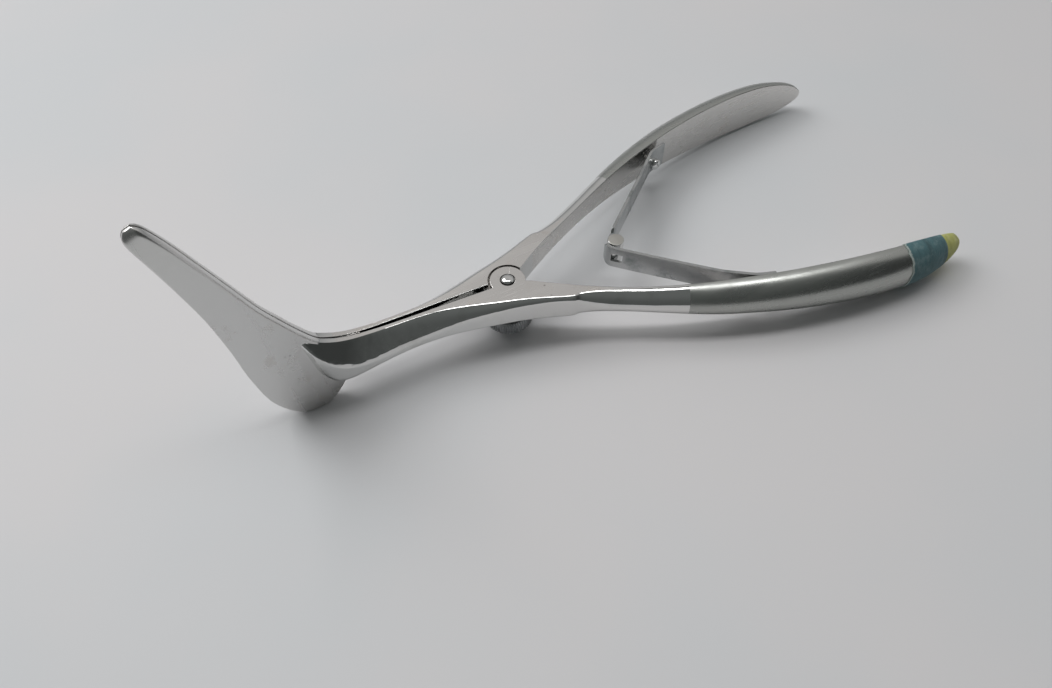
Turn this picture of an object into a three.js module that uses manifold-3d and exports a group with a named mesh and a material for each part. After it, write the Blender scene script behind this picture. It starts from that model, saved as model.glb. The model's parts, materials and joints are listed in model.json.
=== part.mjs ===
// Long-bladed nasal speculum: two mirror-image halves that pivot on a lap joint, a knurled
// thumb nut that locks them, and a pair of leaf springs linked by a barrel that opens the handles.
// Millimetres. The working frame has its origin on the pivot axis at the joint's top face,
// +X along the handles, +Y towards the right half and +Z up the pivot axis.
import * as THREE from 'three';
import { mergeVertices } from 'three/addons/utils/BufferGeometryUtils.js';
import Module from 'manifold-3d';

const wasm = await Module();
wasm.setup();

// Driving dimensions.
const GAP = 0.3;                    // air between neighbouring pieces
const REST_TILT = THREE.MathUtils.degToRad(3.68);  // resting on heels and handle edges
const JOINT_DEPTH = 6.6;            // top face to underside of the joint
const BOSS_RADIUS = 4.2;            // round boss of each half
const RECESS_RADIUS = 4.7;          // recess that the other half's boss turns in
const BORE_RADIUS = 1.6;            // pivot bore below the screw's head
const HEAD_BORE_RADIUS = 1.85;      // counterbore for the screw's head
const HEAD_BORE_DEPTH = 1.9;
const SCREW_HEAD_RADIUS = 1.55;
const SCREW_SHAFT_RADIUS = 1.3;
const SCREW_DOME = 0.75;            // height of the domed head over the joint
const SCREW_LENGTH = 13.0;
const WASHER_RADIUS = 3.4;
const WASHER_THICKNESS = 0.6;
const NUT_HUB_RADIUS = 3.0;
const NUT_TOP = -7.8;
const NUT_DISC_TOP = -9.9;
const NUT_BOTTOM = -13.4;
const NUT_RADIUS = 6.0;
const KNURL_DEPTH = 0.25;
const KNURL_COUNT = 48;
const BLADE_FACE = 0.15;            // inner faces of the closed blades, from the middle plane
const BLADE_THICKNESS = 1.6;
const BLADE_THINNING = 0.35;        // share of the thickness lost by the blade's tip
const BLADE_SQUARENESS = 3;
const LEAF_THICKNESS = 0.75;
const LEAF_HEIGHT = 6.2;
const LEAF_TOP = 0.2;
const LEAF_CLEARANCE = 0.45;        // air that the free leaf needs beside the barrel as it swings
const LEAF_POINTS = 14;             // steps along a leaf's curve
const LEAF_BLANK_LENGTH = 60;       // longer than any leaf
const LEFT_LEAF_BOW = 0.4;          // outward bow of the left leaf's middle
const LEFT_LEAF_PAST = 2.2;         // how far the left leaf runs beyond the barrel's axis
const RIGHT_LEAF_SHORT = 1.0;       // how far the right leaf stops before the barrel's axis
const WINDOW_FROM = 1.75;           // window near the left leaf's end: distances from that end
const WINDOW_TO = 5.0;
const WINDOW_HEIGHT = 2.5;
const LEFT_END_LOW_ROUND = 2.2;     // corner radii of the left leaf's end
const LEFT_END_HIGH_ROUND = 0.8;
const TONGUE_INSET = 1.0;           // narrowing of the right leaf's end on both edges
const SHOULDER_FROM = 2.0;          // the narrowing's slope: distances from the leaf's end
const SHOULDER_TO = 2.9;
const BARREL_RADIUS = 1.85;
const BARREL_HEIGHT = 6.4;
const BARREL_TOP = 0.5;
const BARREL_CHAMFER = 0.2;
const KNUCKLE = new THREE.Vector2(28.8, 0);        // where the two leaves meet
const FOOT_HEIGHT = 7.0;
const FOOT_TOP = 1.1;
const FOOT_LENGTH = 4.6;
const SPRING_SCREW_LEVEL = -4.1;    // height of the screw's axis
const SPRING_SCREW_HEAD = 1.55;     // head radius
const SPRING_SCREW_RIM = 0.8;       // height of the head's straight rim
const SPRING_SCREW_CROWN = 1.7;     // full height of the head
const SPRING_SCREW_SHAFT = 0.9;
const SPRING_SCREW_BITE = 2.9;      // depth of the shaft in the handle
const SCREW_SEGMENTS = 20;
const WRAP_THICKNESS = 0.3;
const LEFT_SPLAY = 1.8;             // extra outward set of the left handle's end
const SPLAY_FROM = 50;              // where the splay starts and ends along the handle
const SPLAY_TO = 107;
const RING_STEPS = 20;              // points round the outer side of a section
const BODY_STEP = 0.5;              // spacing of the lofted rings, in sections
const WRAP_STEP = 0.25;

// Places along a half, as positions in the list of its sections below.
const SEAT_FROM = 18.08;            // spring's seat on the handle's inner face
const SEAT_TO = 18.8;
const BAND_FROM = 21.55;
const BAND_TO = 22.95;
const TIP_FROM = 23.05;
const TIP_TO = 25.0;
const LEFT_HANDLE_END = 24.4;       // steel of the left handle, inside the tip's wrap

// Distances along and off the spring's seat.
const SEAT_GAP = 0.35;
const SCREW_PLACE = 2.2;
const FOOT_START = 0.8;

const steel = (hex, roughness) => new THREE.MeshStandardMaterial({ color: hex, roughness, metalness: 1 });
const tape = (hex) => new THREE.MeshStandardMaterial({ color: hex, roughness: 0.85, metalness: 0 });

// Sections of the right half from shank to handle tip. Each row is the inner side's x and y,
// the outer side's x and y, the top, the bottom, and the squareness of the section.
const BODY = [
  [-48.2, 0.15, -48.2, 1.0, 4.6, -6.4, 2.0],
  [-46.8, 0.15, -46.8, 2.0, 3.8, -8.6, 2.0],
  [-44.0, 0.17, -44.0, 2.9, 2.2, -9.8, 2.2],
  [-39.5, 0.22, -39.5, 3.4, 0.7, -9.4, 2.4],
  [-33.0, 0.32, -33.0, 3.6, 0.1, -8.0, 2.5],
  [-26.0, 0.42, -26.0, 3.8, 0.0, -7.0, 2.6],
  [-19.0, 0.50, -19.0, 4.4, 0.0, -6.6, 3.0],
  [-12.0, 0.60, -12.0, 5.4, 0.0, -6.6, 4.5],
  [-5.5, 0.70, -5.5, 6.7, 0.0, -6.6, 7.0],
  [0.0, 0.80, 0.0, 7.9, 0.0, -6.6, 10.0],
  [4.2, 2.10, 4.2, 9.1, 0.0, -6.6, 12.0],
  [8.0, 4.60, 8.0, 10.4, 0.0, -6.6, 12.0],
  [12.0, 7.00, 11.5, 11.8, 0.0, -6.6, 9.0],
  [14.6, 8.50, 13.3, 12.2, -0.1, -6.5, 4.0],
  [19.5, 11.10, 17.7, 14.4, -0.25, -6.35, 2.3],
  [27.0, 14.95, 25.2, 18.3, -0.2, -6.4, 2.1],
  [35.0, 18.70, 33.3, 22.6, 0.4, -7.0, 2.0],
  [43.0, 21.90, 41.2, 26.6, 1.1, -7.7, 2.0],
  [51.0, 24.60, 49.2, 29.9, 1.7, -8.3, 2.0],
  [60.0, 27.20, 58.3, 32.9, 2.3, -8.9, 2.0],
  [71.0, 29.50, 69.9, 35.5, 2.9, -9.5, 2.0],
  [82.0, 31.00, 81.5, 37.0, 3.2, -9.8, 2.0],
  [92.0, 31.60, 92.1, 37.1, 2.9, -9.5, 2.0],
  [99.2, 31.50, 99.4, 35.8, 1.7, -8.3, 2.0],
  [103.6, 31.20, 103.9, 34.3, 0.1, -6.7, 2.0],
  [105.9, 30.90, 106.1, 32.9, -1.7, -4.9, 2.0],
  [106.7, 31.00, 106.8, 31.9, -2.7, -3.9, 2.0],
];

// Blade and heel plate: matching points of the back edge and the front edge, as x and z.
const BLADE_BACK = [
  [-36.0, 0.0], [-40.5, 0.7], [-43.3, 1.9], [-45.6, 4.0], [-48.3, 7.9], [-51.3, 13.0], [-54.4, 18.7],
  [-58.0, 27.0], [-61.2, 34.3], [-64.1, 40.8], [-66.2, 44.9], [-67.5, 46.8], [-68.7, 47.6],
];
const BLADE_FRONT = [
  [-36.0, -7.9], [-41.2, -12.8], [-46.3, -18.2], [-53.2, -18.9], [-58.7, -11.8], [-61.3, -1.0], [-62.6, 9.5],
  [-64.3, 20.0], [-66.5, 29.0], [-69.0, 37.8], [-70.6, 43.0], [-70.9, 45.4], [-70.1, 47.0],
];

// Solids.

function toSolid(geometry) {
  const bare = geometry.index ? geometry.toNonIndexed() : geometry.clone();
  bare.deleteAttribute('normal');
  bare.deleteAttribute('uv');
  const merged = mergeVertices(bare, 1e-4);
  return new wasm.Manifold(new wasm.Mesh({
    numProp: 3,
    vertProperties: new Float32Array(merged.attributes.position.array),
    triVerts: new Uint32Array(merged.index.array),
  }));
}

function toGeometry(solid) {
  const mesh = solid.getMesh();
  const geometry = new THREE.BufferGeometry();
  geometry.setAttribute('position', new THREE.BufferAttribute(Float32Array.from(mesh.vertProperties), 3));
  geometry.setIndex(Array.from(mesh.triVerts));
  return geometry;
}

// A closed skin over a row of rings that all have the same number of points.
function loft(rings) {
  const size = rings[0].length;
  const points = rings.flat();
  const faces = [];
  for (let row = 0; row + 1 < rings.length; row++) {
    for (let i = 0; i < size; i++) {
      const next = (i + 1) % size;
      const [a, b] = [row * size + i, row * size + next];
      faces.push(a, b, b + size, a, b + size, a + size);
    }
  }
  for (const [first, ring] of [[0, rings[0]], [(rings.length - 1) * size, rings.at(-1)]]) {
    const middle = ring.reduce((sum, p) => sum.add(p), new THREE.Vector3()).divideScalar(size);
    points.push(middle);
    for (let i = 0; i < size; i++) {
      const pair = [first + i, first + ((i + 1) % size)];
      if (first === 0) pair.reverse();
      faces.push(...pair, points.length - 1);
    }
  }
  const volume = faces.reduce((sum, _, i) => (i % 3 ? sum
    : sum + points[faces[i]].dot(points[faces[i + 1]].clone().cross(points[faces[i + 2]]))), 0);
  if (volume < 0) faces.reverse();
  const geometry = new THREE.BufferGeometry().setFromPoints(points);
  geometry.setIndex(faces);
  return geometry;
}

// Half of a superellipse: pairs of height (1 to -1) and depth (0 to 1 to 0).
function halfRound(squareness) {
  return Array.from({ length: RING_STEPS + 1 }, (_, i) => {
    const angle = (Math.PI * i) / RING_STEPS;
    const height = Math.sign(Math.cos(angle)) * Math.abs(Math.cos(angle)) ** (2 / squareness);
    return [height, Math.sin(angle) ** (2 / squareness)];
  });
}

// The halves.

const innerLine = new THREE.CatmullRomCurve3(BODY.map((row) => new THREE.Vector3(row[0], row[1], row[4])));
const outerLine = new THREE.CatmullRomCurve3(BODY.map((row) => new THREE.Vector3(row[2], row[3], row[5])));

// One section of the shank, joint and handle at a station, grown outwards all round.
function bodyRing(station, side, grow = 0) {
  const share = station / (BODY.length - 1);
  const inner = innerLine.getPoint(share);
  const outer = outerLine.getPoint(share);
  const row = Math.min(Math.floor(station), BODY.length - 2);
  const squareness = THREE.MathUtils.lerp(BODY[row][6], BODY[row + 1][6], station - row);
  const middle = (inner.z + outer.z) / 2;
  const half = (inner.z - outer.z) / 2 + grow;
  const across = new THREE.Vector2(outer.x - inner.x, outer.y - inner.y);
  const depth = across.length();
  across.normalize();
  const splay = side < 0 ? LEFT_SPLAY * THREE.MathUtils.smoothstep(inner.x, SPLAY_FROM, SPLAY_TO) : 0;
  return halfRound(squareness).map(([height, q]) => {
    const reach = q * (depth + 2 * grow) - grow;
    return new THREE.Vector3(
      inner.x + across.x * reach, side * (inner.y + splay + across.y * reach), middle + half * height);
  });
}

function bodyLoft(side, from, to, step, grow = 0) {
  const count = Math.round((to - from) / step);
  const rings = Array.from({ length: count + 1 },
    (_, i) => bodyRing(THREE.MathUtils.lerp(from, to, i / count), side, grow));
  return toSolid(loft(rings));
}

function bladeLoft(side) {
  const edge = (rows) => new THREE.CatmullRomCurve3(rows.map(([x, z]) => new THREE.Vector3(x, 0, z)));
  const back = edge(BLADE_BACK);
  const front = edge(BLADE_FRONT);
  const count = (BLADE_BACK.length - 1) * 2;
  const rings = Array.from({ length: count + 1 }, (_, i) => {
    const top = back.getPoint(i / count);
    const bottom = front.getPoint(i / count);
    const thickness = BLADE_THICKNESS * (1 - BLADE_THINNING * (i / count) ** 4);
    return halfRound(BLADE_SQUARENESS).map(([height, q]) => new THREE.Vector3()
      .lerpVectors(bottom, top, (height + 1) / 2)
      .setY(side * (BLADE_FACE + thickness * q)));
  });
  return toSolid(loft(rings));
}

function cylinder(radius, top, bottom, segments = 48) {
  const geometry = new THREE.CylinderGeometry(radius, radius, top - bottom, segments);
  geometry.rotateX(Math.PI / 2);
  geometry.translate(0, 0, (top + bottom) / 2);
  return toSolid(geometry);
}

// A hinge half. The upper boss belongs to the left half and the lower one to the right half.
function halfSolid(side, lastStation) {
  const layer = -JOINT_DEPTH / 2;
  const upper = side < 0;
  const boss = upper ? [0, layer + GAP / 2] : [layer - GAP / 2, -JOINT_DEPTH];
  const recess = upper ? [layer + GAP / 2, -JOINT_DEPTH - 1] : [1, layer - GAP / 2];
  let solid = bodyLoft(side, 0, lastStation, BODY_STEP).add(bladeLoft(side));
  solid = solid.subtract(cylinder(RECESS_RADIUS, ...recess));
  solid = solid.add(cylinder(BOSS_RADIUS, ...boss));
  solid = solid.subtract(cylinder(BORE_RADIUS, 1, -JOINT_DEPTH - 1, 32));
  if (upper) solid = solid.subtract(cylinder(HEAD_BORE_RADIUS, 1, -HEAD_BORE_DEPTH, 32));
  return solid.subtract(springScrewHole(side, -SPRING_SCREW_BITE - GAP));
}

// Pivot screw, washer and nut.

function lathe(profile, segments) {
  const geometry = new THREE.LatheGeometry(profile.map(([r, z]) => new THREE.Vector2(r, z)), segments);
  return geometry.rotateX(Math.PI / 2);
}

function pivotScrew() {
  const dome = Array.from({ length: 6 }, (_, i) => {
    const angle = (Math.PI / 2) * (i / 5);
    return [SCREW_HEAD_RADIUS * Math.cos(angle), SCREW_DOME * Math.sin(angle)];
  });
  dome.at(-1)[0] = 0;
  const headBottom = -HEAD_BORE_DEPTH + GAP;
  return lathe([[0, -SCREW_LENGTH], [SCREW_SHAFT_RADIUS, -SCREW_LENGTH], [SCREW_SHAFT_RADIUS, headBottom],
    [SCREW_HEAD_RADIUS, headBottom], ...dome], 32);
}

function lockWasher() {
  const top = -JOINT_DEPTH - GAP;
  const bottom = top - WASHER_THICKNESS;
  return lathe([[BORE_RADIUS, bottom], [WASHER_RADIUS, bottom], [WASHER_RADIUS, top], [BORE_RADIUS, top],
    [BORE_RADIUS, bottom]], 36);
}

function thumbNut() {
  const rim = new THREE.Shape(Array.from({ length: KNURL_COUNT * 2 }, (_, i) => {
    const radius = NUT_RADIUS - (i % 2 ? KNURL_DEPTH : 0);
    const angle = (Math.PI * i) / KNURL_COUNT;
    return new THREE.Vector2(radius * Math.cos(angle), radius * Math.sin(angle));
  }));
  const disc = new THREE.ExtrudeGeometry(rim, { depth: NUT_DISC_TOP - NUT_BOTTOM, bevelEnabled: false });
  disc.translate(0, 0, NUT_BOTTOM);
  const hub = cylinder(NUT_HUB_RADIUS, NUT_TOP, NUT_DISC_TOP - 1, 36);
  return toGeometry(toSolid(disc).add(hub).subtract(cylinder(BORE_RADIUS, 0, NUT_BOTTOM - 1, 32)));
}

// Springs. A handle's seat is the flat spot on its inner face that carries the spring's foot.

function springSeat(side) {
  const start = innerLine.getPoint(SEAT_FROM / (BODY.length - 1));
  const end = innerLine.getPoint(SEAT_TO / (BODY.length - 1));
  const along = new THREE.Vector2(end.x - start.x, side * (end.y - start.y)).normalize();
  const inward = new THREE.Vector2(along.y, -along.x).multiplyScalar(side);
  return { origin: new THREE.Vector2(start.x, side * start.y), along, inward };
}

function seatPoint(side, along, inward) {
  const seat = springSeat(side);
  return seat.origin.clone().addScaledVector(seat.along, along).addScaledVector(seat.inward, inward);
}

// A turned shape on the spring screw's axis; heights in the profile run inwards from the seat.
function onScrewAxis(side, profile) {
  const { inward } = springSeat(side);
  const place = seatPoint(side, SCREW_PLACE, 0);
  const turn = new THREE.Quaternion()
    .setFromUnitVectors(new THREE.Vector3(0, 0, 1), new THREE.Vector3(inward.x, inward.y, 0));
  return lathe(profile, SCREW_SEGMENTS).applyQuaternion(turn).translate(place.x, place.y, SPRING_SCREW_LEVEL);
}

function springScrew(side) {
  const under = SEAT_GAP + LEAF_THICKNESS + GAP;
  const rim = under + SPRING_SCREW_RIM;
  const crown = Array.from({ length: 5 }, (_, i) => {
    const angle = (Math.PI / 2) * (i / 4);
    const height = rim + (SPRING_SCREW_CROWN - SPRING_SCREW_RIM) * Math.sin(angle);
    return [SPRING_SCREW_HEAD * Math.cos(angle), height];
  });
  crown.at(-1)[0] = 0;
  return onScrewAxis(side, [[0, -SPRING_SCREW_BITE], [SPRING_SCREW_SHAFT, -SPRING_SCREW_BITE],
    [SPRING_SCREW_SHAFT, under], [SPRING_SCREW_HEAD, under], ...crown]);
}

// The clearance hole for a spring screw, from a depth up through the foot.
function springScrewHole(side, bottom) {
  const radius = SPRING_SCREW_SHAFT + GAP;
  const top = 2 * (SEAT_GAP + LEAF_THICKNESS);
  return toSolid(onScrewAxis(side, [[0, bottom], [radius, bottom], [radius, top], [0, top]]));
}

// A flat strip that follows a line of plan points, standing between two heights.
function strip(line, thickness, top, height) {
  const left = [];
  const right = [];
  line.forEach((point, i) => {
    const before = line[Math.max(i - 1, 0)];
    const after = line[Math.min(i + 1, line.length - 1)];
    const across = after.clone().sub(before).normalize().rotateAround(new THREE.Vector2(), Math.PI / 2);
    left.push(point.clone().addScaledVector(across, thickness / 2));
    right.unshift(point.clone().addScaledVector(across, -thickness / 2));
  });
  const geometry = new THREE.ExtrudeGeometry(new THREE.Shape([...left, ...right]),
    { depth: height, bevelEnabled: false });
  return geometry.translate(0, 0, top - height);
}

function springFoot(side) {
  const middle = SEAT_GAP + LEAF_THICKNESS / 2;
  const line = [FOOT_START, FOOT_START + FOOT_LENGTH / 2, FOOT_START + FOOT_LENGTH]
    .map((along) => seatPoint(side, along, middle));
  const plate = toSolid(strip(line, LEAF_THICKNESS, FOOT_TOP, FOOT_HEIGHT));
  return toGeometry(plate.subtract(springScrewHole(side, 0)));
}

// The middle line of a leaf in plan, from its root at the handle to its end at the barrel.
function leafLine(side, { clearance, past, bow }) {
  const root = seatPoint(side, FOOT_START - 1.5 * GAP, SEAT_GAP + LEAF_THICKNESS / 2);
  const reach = root.clone().sub(KNUCKLE).normalize();
  const outside = reach.clone().rotateAround(new THREE.Vector2(), (side * Math.PI) / 2);
  const offset = BARREL_RADIUS + LEAF_THICKNESS / 2 + clearance;
  const end = KNUCKLE.clone().addScaledVector(outside, offset).addScaledVector(reach, -past);
  const middle = root.clone().lerp(end, 0.5).addScaledVector(outside, bow);
  return new THREE.QuadraticBezierCurve(root, middle, end).getPoints(LEAF_POINTS);
}

// A leaf cut to a side-view outline that is drawn from the leaf's end and its lower edge.
function leaf(side, shape, outline) {
  const line = leafLine(side, shape);
  const end = line.at(-1);
  const along = line.at(-2).clone().sub(end);
  const width = 2 * LEAF_BLANK_LENGTH;
  const cutter = new THREE.ExtrudeGeometry(outline, { depth: width, bevelEnabled: false, curveSegments: 16 });
  cutter.translate(0, 0, -width / 2);
  cutter.rotateX(Math.PI / 2);
  cutter.rotateZ(Math.atan2(along.y, along.x));
  cutter.translate(end.x, end.y, LEAF_TOP - LEAF_HEIGHT);
  const blank = toSolid(strip(line, LEAF_THICKNESS, LEAF_TOP, LEAF_HEIGHT));
  return toGeometry(blank.intersect(toSolid(cutter)));
}

// The left leaf has a round-cornered end beyond the barrel and a square window.
function leftLeaf() {
  const middle = LEAF_HEIGHT / 2;
  const [lowRound, highRound] = [LEFT_END_LOW_ROUND, LEFT_END_HIGH_ROUND];
  const outline = new THREE.Shape();
  outline.moveTo(lowRound, 0);
  outline.absarc(lowRound, lowRound, lowRound, -Math.PI / 2, Math.PI, true);
  outline.absarc(highRound, LEAF_HEIGHT - highRound, highRound, Math.PI, Math.PI / 2, true);
  outline.lineTo(LEAF_BLANK_LENGTH, LEAF_HEIGHT);
  outline.lineTo(LEAF_BLANK_LENGTH, 0);
  const [low, high] = [middle - WINDOW_HEIGHT / 2, middle + WINDOW_HEIGHT / 2];
  const corners = [[WINDOW_FROM, low], [WINDOW_TO, low], [WINDOW_TO, high], [WINDOW_FROM, high]];
  outline.holes.push(new THREE.Path(corners.map(([u, v]) => new THREE.Vector2(u, v))));
  return leaf(-1, { clearance: GAP, past: LEFT_LEAF_PAST, bow: LEFT_LEAF_BOW }, outline);
}

// The right leaf narrows to a tongue that bears on the barrel's far side.
function rightLeaf() {
  const lower = [[-LEAF_BLANK_LENGTH, TONGUE_INSET], [SHOULDER_FROM, TONGUE_INSET], [SHOULDER_TO, 0],
    [LEAF_BLANK_LENGTH, 0]];
  const upper = lower.map(([u, v]) => [u, LEAF_HEIGHT - v]).reverse();
  const outline = new THREE.Shape([...lower, ...upper].map(([u, v]) => new THREE.Vector2(u, v)));
  return leaf(1, { clearance: LEAF_CLEARANCE, past: -RIGHT_LEAF_SHORT, bow: 0 }, outline);
}

function springBarrel() {
  const top = BARREL_TOP;
  const bottom = top - BARREL_HEIGHT;
  const face = BARREL_RADIUS - BARREL_CHAMFER;
  return lathe([[0, bottom], [face, bottom], [BARREL_RADIUS, bottom + BARREL_CHAMFER],
    [BARREL_RADIUS, top - BARREL_CHAMFER], [face, top], [0, top]], 24).translate(KNUCKLE.x, KNUCKLE.y, 0);
}

// Wraps on the left handle's end: a skin over the handle, open where the hollow runs past it.

function wrap(from, to, hollowFrom, hollowTo) {
  const outside = bodyLoft(-1, from, to, WRAP_STEP, GAP + WRAP_THICKNESS);
  return toGeometry(outside.subtract(bodyLoft(-1, hollowFrom, hollowTo, WRAP_STEP, GAP)));
}

// Assembly.

const speculum = new THREE.Group();
const instrument = new THREE.Group();
speculum.add(instrument);

function add(name, geometry, material) {
  const mesh = new THREE.Mesh(geometry, material);
  mesh.name = name;
  instrument.add(mesh);
}

add('left_half', toGeometry(halfSolid(-1, LEFT_HANDLE_END)), steel(0xb9bab8, 0.22));
add('right_half', toGeometry(halfSolid(1, BODY.length - 1)), steel(0xb9bab8, 0.22));
add('pivot_screw', pivotScrew(), steel(0xc4c5c4, 0.18));
add('lock_washer', lockWasher(), steel(0x9fa0a0, 0.35));
add('thumb_nut', thumbNut(), steel(0x86888a, 0.38));
for (const [name, side, makeLeaf] of [['left', -1, leftLeaf], ['right', 1, rightLeaf]]) {
  add(`${name}_spring_foot`, springFoot(side), steel(0x9a9c9c, 0.32));
  add(`${name}_spring_leaf`, makeLeaf(), steel(0x8f9293, 0.34));
  add(`${name}_spring_screw`, springScrew(side), steel(0xc0c1c0, 0.2));
}
add('spring_barrel', springBarrel(), steel(0xa8a59d, 0.45));
add('colour_band', wrap(BAND_FROM, BAND_TO, BAND_FROM - 1, BAND_TO + 1), tape(0x4d7a80));
add('tip_wrap', wrap(TIP_FROM, TIP_TO, TIP_FROM - 1, LEFT_HANDLE_END + WRAP_STEP), tape(0xb2ba5c));

// Lay the instrument on its heels and handle edges, with the origin under the middle of its box.
instrument.rotation.y = REST_TILT;
speculum.updateMatrixWorld(true);
const box = new THREE.Box3().setFromObject(speculum, true);
const middle = box.getCenter(new THREE.Vector3());
instrument.position.set(-middle.x, -middle.y, -box.min.z);

export default speculum;
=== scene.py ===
"""Looks of a long-bladed nasal speculum lying on a pale table.

Pieces are modelled in millimetres in the instrument's own axes (origin on the pivot axis at the
joint's top face, +X along the handles, +Z up the pivot axis) and then laid in the row frame.
"""

import json
import logging
import math
from dataclasses import dataclass, field
from enum import Enum

import bmesh
import bpy
from mathutils import Matrix, Vector

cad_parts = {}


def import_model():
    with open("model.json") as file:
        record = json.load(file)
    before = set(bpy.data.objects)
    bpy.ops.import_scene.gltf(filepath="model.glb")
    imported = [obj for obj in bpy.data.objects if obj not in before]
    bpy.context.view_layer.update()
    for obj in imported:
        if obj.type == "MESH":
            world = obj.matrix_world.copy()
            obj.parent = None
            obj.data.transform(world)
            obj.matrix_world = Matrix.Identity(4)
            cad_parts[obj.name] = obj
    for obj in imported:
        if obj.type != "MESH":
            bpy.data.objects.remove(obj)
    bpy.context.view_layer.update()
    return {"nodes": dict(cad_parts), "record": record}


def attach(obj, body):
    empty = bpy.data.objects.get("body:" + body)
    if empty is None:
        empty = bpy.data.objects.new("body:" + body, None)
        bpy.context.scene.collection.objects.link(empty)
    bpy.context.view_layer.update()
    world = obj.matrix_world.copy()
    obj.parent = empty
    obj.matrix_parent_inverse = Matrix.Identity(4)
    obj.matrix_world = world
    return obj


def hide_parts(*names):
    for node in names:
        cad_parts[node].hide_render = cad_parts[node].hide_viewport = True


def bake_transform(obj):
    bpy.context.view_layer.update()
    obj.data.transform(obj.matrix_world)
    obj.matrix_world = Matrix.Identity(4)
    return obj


LOG = logging.getLogger("speculum")
MM = 0.001
GAP = 0.3
JOINT_DEPTH = 6.6
SMOOTH_ANGLE = math.radians(34)


class Side(Enum):
    """The two hinge halves, by the sign of their side of the middle plane."""

    LEFT = -1
    RIGHT = 1

    @property
    def word(self) -> str:
        """The side's name as it is used in node and body names.

        Returns:
            The name in lower case.
        """
        return self.name.lower()


class Finish(Enum):
    """Order of the finishes in the material slots of a hinge half."""

    BLADE = 0
    POLISHED = 1
    JOINT = 2
    GRIP = 3


# Node groups and finishes.


def new_group(name: str, inputs: dict, outputs: dict) -> bpy.types.NodeTree:
    """Makes an empty shader group with named sockets.

    Args:
        name: The group's name.
        inputs: Socket name to (socket type, default value or None).
        outputs: Socket name to socket type.

    Returns:
        The node tree, with its Group Input and Group Output nodes in it.
    """
    tree = bpy.data.node_groups.new(name, "ShaderNodeTree")
    for label, (kind, default) in inputs.items():
        socket = tree.interface.new_socket(label, in_out="INPUT", socket_type=kind)
        if default is not None:
            socket.default_value = default
    for label, kind in outputs.items():
        tree.interface.new_socket(label, in_out="OUTPUT", socket_type=kind)
    tree.nodes.new("NodeGroupInput")
    tree.nodes.new("NodeGroupOutput")
    return tree


def ends(tree: bpy.types.NodeTree) -> tuple[bpy.types.Node, bpy.types.Node]:
    """Finds a group's end nodes.

    Args:
        tree: The group.

    Returns:
        Its input node and its output node.
    """
    return tree.nodes["Group Input"], tree.nodes["Group Output"]


def math_node(tree: bpy.types.NodeTree, kind: str, first, second) -> bpy.types.NodeSocket:
    """Adds a Math node whose operands are sockets or numbers.

    Args:
        tree: The node tree.
        kind: The operation, such as "MULTIPLY".
        first: A socket or a number.
        second: A socket or a number.

    Returns:
        The node's output socket.
    """
    node = tree.nodes.new("ShaderNodeMath")
    node.operation = kind
    for socket, value in zip(node.inputs, (first, second)):
        if isinstance(value, bpy.types.NodeSocket):
            tree.links.new(value, socket)
        else:
            socket.default_value = value
    return node.outputs[0]


def range_node(tree: bpy.types.NodeTree, value, low, high, start: float, end: float) -> bpy.types.NodeSocket:
    """Adds a smooth Map Range node.

    Args:
        tree: The node tree.
        value: The socket to map.
        low: Input value that maps to start, a number or a socket.
        high: Input value that maps to end, a number or a socket.
        start: Output at low.
        end: Output at high.

    Returns:
        The mapped socket.
    """
    node = tree.nodes.new("ShaderNodeMapRange")
    node.interpolation_type = "SMOOTHSTEP"
    tree.links.new(value, node.inputs["Value"])
    for name, given in (("From Min", low), ("From Max", high), ("To Min", start), ("To Max", end)):
        if isinstance(given, bpy.types.NodeSocket):
            tree.links.new(given, node.inputs[name])
        else:
            node.inputs[name].default_value = given
    return node.outputs["Result"]


def noise_node(
    tree: bpy.types.NodeTree, vector: bpy.types.NodeSocket, scale, detail: float, roughness: float = 0.5
) -> bpy.types.NodeSocket:
    """Adds a Noise Texture and returns its factor output.

    Args:
        tree: The node tree.
        vector: The coordinates' socket.
        scale: Scale, a number or a socket.
        detail: Octaves.
        roughness: How strong the fine octaves are.

    Returns:
        The factor output socket.
    """
    node = tree.nodes.new("ShaderNodeTexNoise")
    tree.links.new(vector, node.inputs["Vector"])
    if isinstance(scale, bpy.types.NodeSocket):
        tree.links.new(scale, node.inputs["Scale"])
    else:
        node.inputs["Scale"].default_value = scale
    node.inputs["Detail"].default_value = detail
    node.inputs["Roughness"].default_value = roughness
    return node.outputs["Fac"]


def mix_colour(tree: bpy.types.NodeTree, factor, first, second) -> bpy.types.NodeSocket:
    """Adds a colour Mix node.

    Args:
        tree: The node tree.
        factor: The mask socket.
        first: Colour socket or (r, g, b) where the mask is 0.
        second: Colour socket or (r, g, b) where the mask is 1.

    Returns:
        The mixed colour's socket.
    """
    node = tree.nodes.new("ShaderNodeMix")
    node.data_type = "RGBA"
    tree.links.new(factor, node.inputs[0])
    for socket, value in ((node.inputs[6], first), (node.inputs[7], second)):
        if isinstance(value, bpy.types.NodeSocket):
            tree.links.new(value, socket)
        else:
            socket.default_value = (*value, 1.0)
    return node.outputs[2]


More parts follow.
